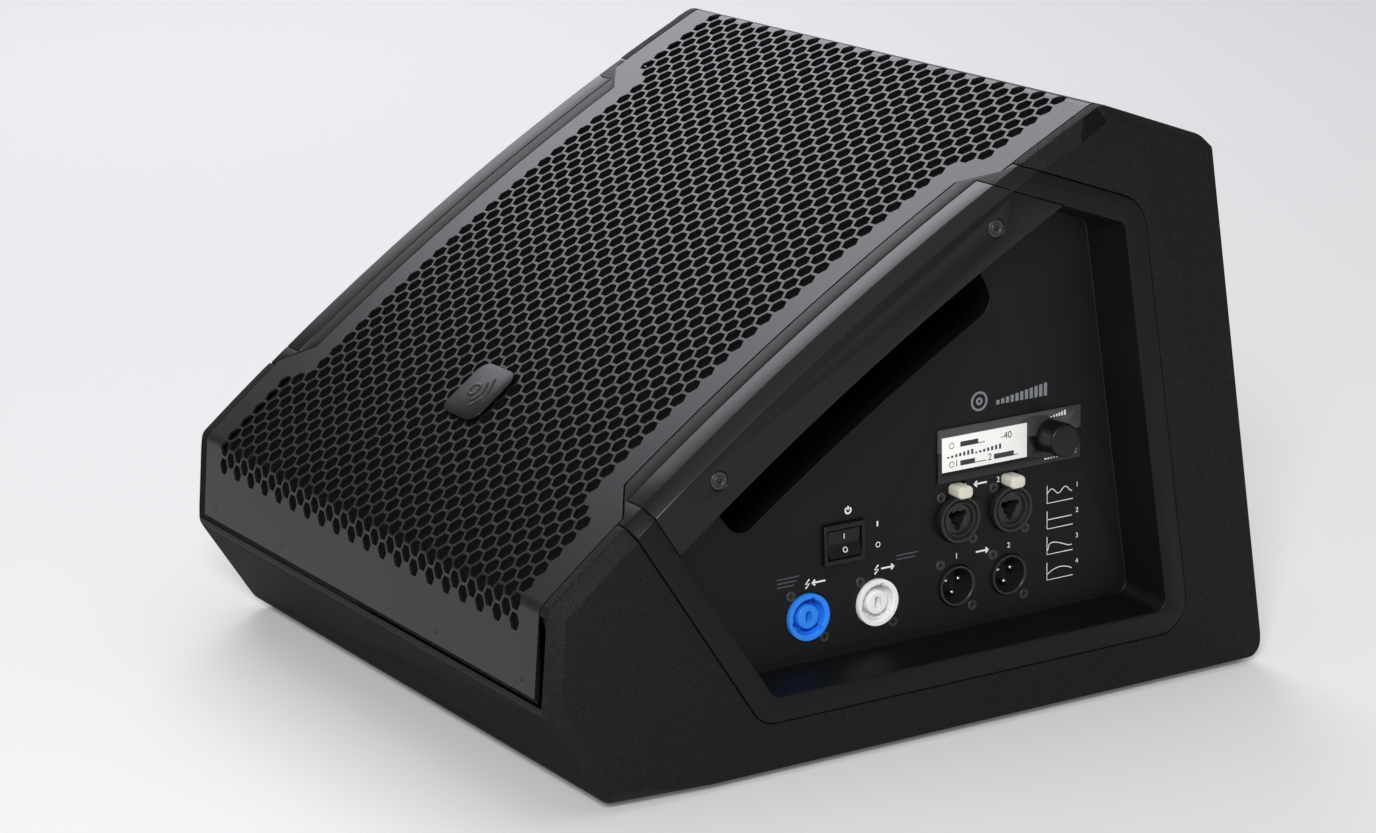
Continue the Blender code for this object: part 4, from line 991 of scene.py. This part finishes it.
# ---- Display ------------------------------------------------------------------------------
# A smoked window is stuck on the panel, printed grey along its upper edge. The liquid-crystal
# glass shows level bars and a number on a pale backlight.
LCD_INK = 0.0004
INK_HALF = 0.00003
INK_PROUD = 0.00004
GLASS_INK_PROUD = 0.00002
PANE_EDGE = 0.00015
TONE_BLEND = 0.0002
UPPER_BAND = 0.0118


def patch(low, high):
    """A filled printed rectangle."""
    return block("patch", (*low, -INK_HALF), (*high, INK_HALF))


def bars(left, low, count, step, wide, tall, growth):
    """A row of printed bars, each taller than the last."""
    row = []
    for i in range(count):
        start = left + i * step
        row.append(patch((start, low), (start + wide, low + tall + growth * i)))
    return row


def figures(words, size, across, up):
    """Printed figures, as a mesh."""
    bpy.ops.object.text_add(location=(across, up, 0.0))
    written = bpy.context.object
    written.data.body = words
    written.data.size = size
    written.data.extrude = INK_HALF
    written.data.align_x = "CENTER"
    written.data.align_y = "CENTER"
    pick(written)
    bpy.ops.object.convert(target="MESH")
    return settle(written)


def print_on(name, marks, finish, out):
    """Joins printed marks, drawn in world (y, z), and lays them on the panel."""
    printed = joined(name, marks)
    facing_side(printed, 1, 0.0, 0.0, PANEL_FACE + out)
    return dress(printed, finish)


def two_tone(finish, height, lower, upper):
    """Colours a finish differently above a height, with a short blend between."""
    tree = finish.node_tree
    place = add_node(tree, "TexCoord")
    parts = add_node(tree, "SeparateXYZ")
    ramp = add_node(tree, "MapRange", {"From Min": height - TONE_BLEND, "From Max": height + TONE_BLEND})
    tree.links.new(place.outputs["Object"], parts.inputs[0])
    tree.links.new(parts.outputs["Z"], ramp.inputs["Value"])
    blend_colours(finish, ramp.outputs["Result"], lower, upper)


smoked = principled("smoked_window", (0.012, 0.012, 0.013), 0.16)
window_low, window_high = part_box("display_window")
two_tone(smoked, window_high.z - UPPER_BAND, (0.006, 0.006, 0.0065), (0.050, 0.050, 0.052))
renewed("display_window", "smoked_window", smoked, PANE_EDGE, 2, sunk=STUCK_DOWN)
backlit = principled("backlit_glass", (0.78, 0.78, 0.76), 0.2)
shader_of(backlit).inputs["Emission Color"].default_value = (0.95, 0.95, 0.92, 1.0)
shader_of(backlit).inputs["Emission Strength"].default_value = 0.16
renewed("display_glass", "display_glass_pane", backlit, PANE_EDGE, 2)
glass_low, glass_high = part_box("display_glass")
left, floor_line = glass_low.y, glass_low.z
lcd_marks = []
for start, end, up in ((0.0107, 0.0215, 0.0118), (0.0107, 0.0195, 0.0022), (0.0310, 0.0430, 0.0022)):
    lcd_marks.append(patch((left + start, floor_line + up), (left + end, floor_line + up + 0.0026)))
for start, end, up in ((0.0215, 0.0255, 0.0119), (0.0195, 0.0265, 0.0023), (0.0430, 0.0455, 0.0023)):
    lcd_marks.append(patch((left + start, floor_line + up), (left + end, floor_line + up + LCD_INK)))
for start in (left + 0.0028, left + 0.0196):
    lcd_marks += bars(start, floor_line + 0.0070, 7, 0.0024, 0.0013, 0.0008, 0.0003)
for words, across, up in (("-40", 0.0385, 0.0131), ("1", 0.0085, 0.0036), ("2", 0.0285, 0.0036)):
    lcd_marks.append(figures(words, 0.0050, left + across, floor_line + up))
for up in (0.0131, 0.0036):
    lcd_marks.append(ring((left + 0.0055, floor_line + up), 0.0014, LCD_INK))
lcd_ink = principled("liquid_crystal", (0.030, 0.030, 0.034), 0.4)
print_on("display_marks", lcd_marks, lcd_ink, glass_high.x - PANEL_FACE + GLASS_INK_PROUD)


# ---- Volume knob --------------------------------------------------------------------------
# A smooth black knob on the encoder's shaft. It turns without end and pushes in.
renewed("volume_knob", "encoder_knob", strip_plastic, 0.0006, 4, body="knob")


# ---- Panel printing -----------------------------------------------------------------------
# White and grey screen printing: figures beside the sockets, plain signs for power, in and
# out, four response charts, a lock and a level wedge by the knob, and a model sign of bars.
FINE = 0.0005
BOLD = 0.0010
CHART_STEP = 0.0134
CHART_WIDE = 0.0160
CHART_TALL = 0.0092
SIGN_LINE = 0.0014
HAIR = 0.0003


def arrow(across, up, way):
    """A small arrow pointing right (way 1) or left (way -1)."""
    tip = across + way * 0.0038
    head = [(tip - way * 0.0017, up + 0.0014), (tip, up), (tip - way * 0.0017, up - 0.0014)]
    return [line([(across - way * 0.0038, up), (tip, up)], BOLD), line(head, BOLD)]


def mains_sign(across, up):
    """A zigzag flash."""
    points = [(0.0011, 0.0022), (-0.0011, 0.0), (0.0011, 0.0), (-0.0011, -0.0022)]
    return [line([(across + u, up + v) for u, v in points], BOLD)]


def chart(across, up, curve):
    """Two axes and a response curve."""
    axes = line([(across, up + CHART_TALL), (across, up), (across + CHART_WIDE, up)], FINE)
    points = [(across + share * CHART_WIDE, up + CHART_TALL * height) for share, height in curve]
    return [axes, line(points, FINE)]


def response(kind):
    """Share across and height of each chart's curve."""
    points = []
    for i in range(17):
        share = i / 16
        heights = {
            "wave": 0.62 + 0.16 * math.sin(share * 4 * math.pi * 0.9 - 0.3),
            "flat": 0.52,
            "rolled": 0.22 + 0.42 * math.sin(math.pi * min(share, 0.86) ** 0.45),
            "cut": 0.10 + 0.52 * math.sin(math.pi * (0.08 + share * 0.78)) ** 0.6,
        }
        points.append((0.02 + share * 0.94, heights[kind]))
    return points


def at_middle(node, across, up):
    """A place on the panel, counted from the middle of a round connector."""
    y, z = socket_place(node)[:2]
    return y + across, z + up


marks = [line(arc((switch_at.y + 0.0030, switch_at.z + 0.0158), 0.0016, 125, 415), BOLD)]
for across, low, high in ((0.0030, 0.0160, 0.0180), (0.0200, 0.0048, 0.0074)):
    marks.append(line([(switch_at.y + across, switch_at.z + up) for up in (low, high)], BOLD))
marks.append(ring((switch_at.y + 0.0202, switch_at.z - 0.0046), 0.0012, FINE))
for node, way in (("power_inlet", 1), ("power_outlet", -1)):
    sign = at_middle(node, 0.0, 0.0166)
    marks += mains_sign(*sign) + arrow(sign[0] + 0.0065, sign[1], -way)
for number, node in enumerate(("combo_input_1", "combo_input_2"), 1):
    marks.append(figures(str(number), 0.0040, *at_middle(node, 0.0050 - 0.0120 * (number - 1), 0.0157)))
for number, node in enumerate(("thru_output_1", "thru_output_2"), 1):
    marks.append(figures(str(number), 0.0040, *at_middle(node, 0.0, 0.0152)))
marks += arrow(*at_middle("combo_input_1", 0.0140, 0.0157), -1)
marks += arrow(*at_middle("thru_output_1", 0.0155, 0.0152), 1)
chart_left = window_high.y - 0.0200
for i, kind in enumerate(("wave", "flat", "rolled", "cut")):
    low = window_low.z - 0.0212 - CHART_STEP * i
    marks += chart(chart_left, low, response(kind))
    marks.append(figures(str(i + 1), 0.0036, chart_left + CHART_WIDE + 0.0026, low + CHART_TALL * 0.75))
print_on("panel_print", marks, white_ink, INK_PROUD)

window_marks = bars(window_high.y - 0.0190, window_high.z - 0.0040, 6, 0.0017, 0.0010, 0.0006, 0.0004)
lock = (window_high.y - 0.0252, window_high.z - 0.0129)
window_marks.append(patch((lock[0] - 0.0011, lock[1] - 0.0010), (lock[0] + 0.0011, lock[1] + 0.0006)))
window_marks.append(line(arc((lock[0], lock[1] + 0.0008), 0.0008, 0, 180), HAIR))
corner = (window_high.y - 0.0030, window_low.z + 0.0030)
window_marks.append(line([(corner[0], corner[1] + 0.0045), corner, (corner[0] - 0.0012, corner[1])], HAIR))
window_marks += bars(window_high.y - 0.0225, window_low.z + 0.0022, 7, 0.0018, 0.0011, 0.0008, 0.0)
print_on("window_print", window_marks, white_ink, window_high.x - PANEL_FACE + GLASS_INK_PROUD)

grey_ink = principled("grey_ink", (0.19, 0.205, 0.225), 0.5)
sign_at = (window_low.y + 0.0254, window_high.z + 0.0108)
grey_marks = [ring(sign_at, 0.0044, SIGN_LINE, 28)]
grey_marks.append(ring(sign_at, 0.0014, SIGN_LINE))
sign_growth = 0.0048 / 11
grey_marks += bars(
    sign_at[0] + 0.0102, sign_at[1] - 0.0033, 11, 0.0029, 0.0019, 0.0018 + sign_growth, sign_growth
)
print_on("model_sign", grey_marks, grey_ink, INK_PROUD)
fine_grey = principled("fine_grey_ink", (0.05, 0.055, 0.065), 0.5)
small_print = []
for node, across, rows in (("power_inlet", -0.0175, 3), ("power_outlet", 0.0115, 2)):
    for row in range(rows):
        start, up = at_middle(node, across, 0.0212 - 0.0020 * row)
        small_print.append(patch((start, up), (start + 0.0130 - 0.0016 * row, up + 0.0007)))
print_on("rating_lines", small_print, fine_grey, INK_PROUD)


# ---- Feet ---------------------------------------------------------------------------------
# Four low feet of black rubber are screwed to the underside, one near each corner.
rubber = grained("black_rubber", (0.012, 0.012, 0.012), 0.75, size=1800.0, strength=0.2, distance=0.0001)
for number in range(1, 5):
    renewed(f"rubber_foot_{number}", f"foot_{number}", rubber, 0.0005)


# ---- Driver, ports and electronics --------------------------------------------------------
# What sits behind the grille and the panel keeps the frame's own shapes: the baffle board,
# the coaxial driver and its ports, the wadding, and the boards, heat sink and encoder.
def finish_nodes(finish, *nodes):
    for node in nodes:
        for material_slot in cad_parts[node].material_slots:
            material_slot.material = finish


INNER_GRAIN = 0.0003
IRON_NODES = ("woofer_frame", "woofer_front_plate", "woofer_yoke", "tweeter_driver")
INNER_FINISHES = (
    ("stained_plywood", (0.020, 0.018, 0.016), 0.7, 0.0, 300.0, 0.3, ("baffle_board",)),
    ("black_iron", (0.030, 0.030, 0.032), 0.45, 0.7, 900.0, 0.15, IRON_NODES),
    ("ferrite", (0.040, 0.040, 0.044), 0.75, 0.0, 1500.0, 0.3, ("woofer_magnet",)),
    ("cone_paper", (0.014, 0.014, 0.014), 0.85, 0.0, 700.0, 0.5, ("woofer_cone",)),
    ("copper_wire", (0.62, 0.28, 0.13), 0.35, 0.9, 3000.0, 0.3, ("voice_coil",)),
    ("treated_cotton", (0.40, 0.29, 0.10), 0.9, 0.0, 1400.0, 0.7, ("woofer_spider",)),
    ("polyester_wadding", (0.28, 0.28, 0.26), 0.95, 0.0, 250.0, 0.9, ("back_wadding",)),
    ("circuit_laminate", (0.012, 0.10, 0.045), 0.45, 0.0, 600.0, 0.1, ("input_board", "supply_board")),
    ("extruded_aluminium", (0.72, 0.72, 0.72), 0.38, 1.0, 1200.0, 0.08, ("amplifier_heatsink",)),
    ("taped_core", (0.40, 0.24, 0.03), 0.5, 0.0, 900.0, 0.15, ("supply_transformer",)),
    ("bright_steel", (0.60, 0.60, 0.60), 0.28, 1.0, 1500.0, 0.05, ("encoder_body", "encoder_shaft")),
)
for name, colour, roughness, metallic, size, strength, nodes in INNER_FINISHES:
    finish_nodes(grained(name, colour, roughness, size, strength, INNER_GRAIN, metallic), *nodes)
finish_nodes(rubber, "woofer_surround")
finish_nodes(strip_plastic, "right_port_tube", "left_port_tube", "tweeter_horn")
finish_nodes(white_nylon, "encoder_plunger")


# ---- Floor, light and camera --------------------------------------------------------------
# A plain white studio floor, soft light from above, behind and the front right, and the
# camera low to the front right. The room and floor are lifted to white for the camera only.
ROOM_GLOW = 0.22
FLOOR_LIFT = 0.10
LENS = 99.49
CAMERA_TURNS = (1.0301, 0.2644, 0.0225)
CAMERA_PLACE = Vector((1.63950, -0.99795, 0.64160))


def studio():
    bpy.ops.mesh.primitive_plane_add(size=30.0, location=(0.0, 0.0, 0.0))
    floor = bpy.context.object
    floor.name = "studio_floor"
    white = principled("white_floor", (0.86, 0.86, 0.87), 0.6)
    tree = white.node_tree
    seen = add_node(tree, "LightPath")
    lift = add_node(tree, "Math", {1: FLOOR_LIFT})
    lift.operation = "MULTIPLY"
    tree.links.new(seen.outputs["Is Camera Ray"], lift.inputs[0])
    tree.links.new(lift.outputs[0], shader_of(white).inputs["Emission Strength"])
    shader_of(white).inputs["Emission Color"].default_value = (1.0, 1.0, 1.0, 1.0)
    floor.data.materials.append(white)
    world = bpy.data.worlds.new("studio")
    bpy.context.scene.world = world
    world.use_nodes = True
    tree = world.node_tree
    seen = add_node(tree, "LightPath")
    glow = add_node(tree, "MapRange", {"To Min": ROOM_GLOW})
    tree.links.new(seen.outputs["Is Camera Ray"], glow.inputs["Value"])
    tree.links.new(glow.outputs["Result"], tree.nodes["Background"].inputs["Strength"])
    tree.nodes["Background"].inputs["Color"].default_value = (1.0, 1.0, 1.0, 1.0)


def softbox(name, place, aim, size, power, colour=(1.0, 1.0, 1.0)):
    lamp = bpy.data.lights.new(name, "AREA")
    lamp.color = colour
    lamp.shape = "RECTANGLE"
    lamp.size, lamp.size_y = size
    lamp.energy = power
    held = bpy.data.objects.new(name, lamp)
    held.location = place
    held.rotation_euler = (Vector(aim) - Vector(place)).to_track_quat("-Z", "Y").to_euler()
    bpy.context.scene.collection.objects.link(held)


def photographer():
    yaw, pitch, roll = CAMERA_TURNS
    level = Vector((math.cos(yaw), math.sin(yaw), 0.0))
    ahead = Vector((-math.sin(yaw), math.cos(yaw), 0.0))
    forward = ahead * math.cos(pitch) - Vector((0.0, 0.0, math.sin(pitch)))
    down = forward.cross(level)
    right = level * math.cos(roll) + down * math.sin(roll)
    below = down * math.cos(roll) - level * math.sin(roll)
    lens = bpy.data.cameras.new("camera")
    lens.sensor_width = 36.0
    lens.lens = LENS
    lens.clip_start = 0.05
    camera = bpy.data.objects.new("camera", lens)
    bpy.context.scene.collection.objects.link(camera)
    axes = [right, -below, -forward, CAMERA_PLACE]
    matrix = camera.matrix_world
    for column, axis in enumerate(axes):
        for row in range(3):
            matrix[row][column] = axis[row]
    camera.matrix_world = matrix
    bpy.context.scene.camera = camera


studio()
softbox("far_light", (-2.6, 0.75, 1.95), (0.0, 0.0, 0.15), (2.0, 1.5), 34.0, (0.93, 0.94, 1.0))
softbox("top_light", (0.0, 0.3, 3.0), (0.0, 0.0, 0.1), (3.5, 3.5), 19.0)
softbox("key_light", (2.4, -1.7, 1.7), (0.0, 0.0, 0.12), (0.8, 0.8), 82.0)
photographer()
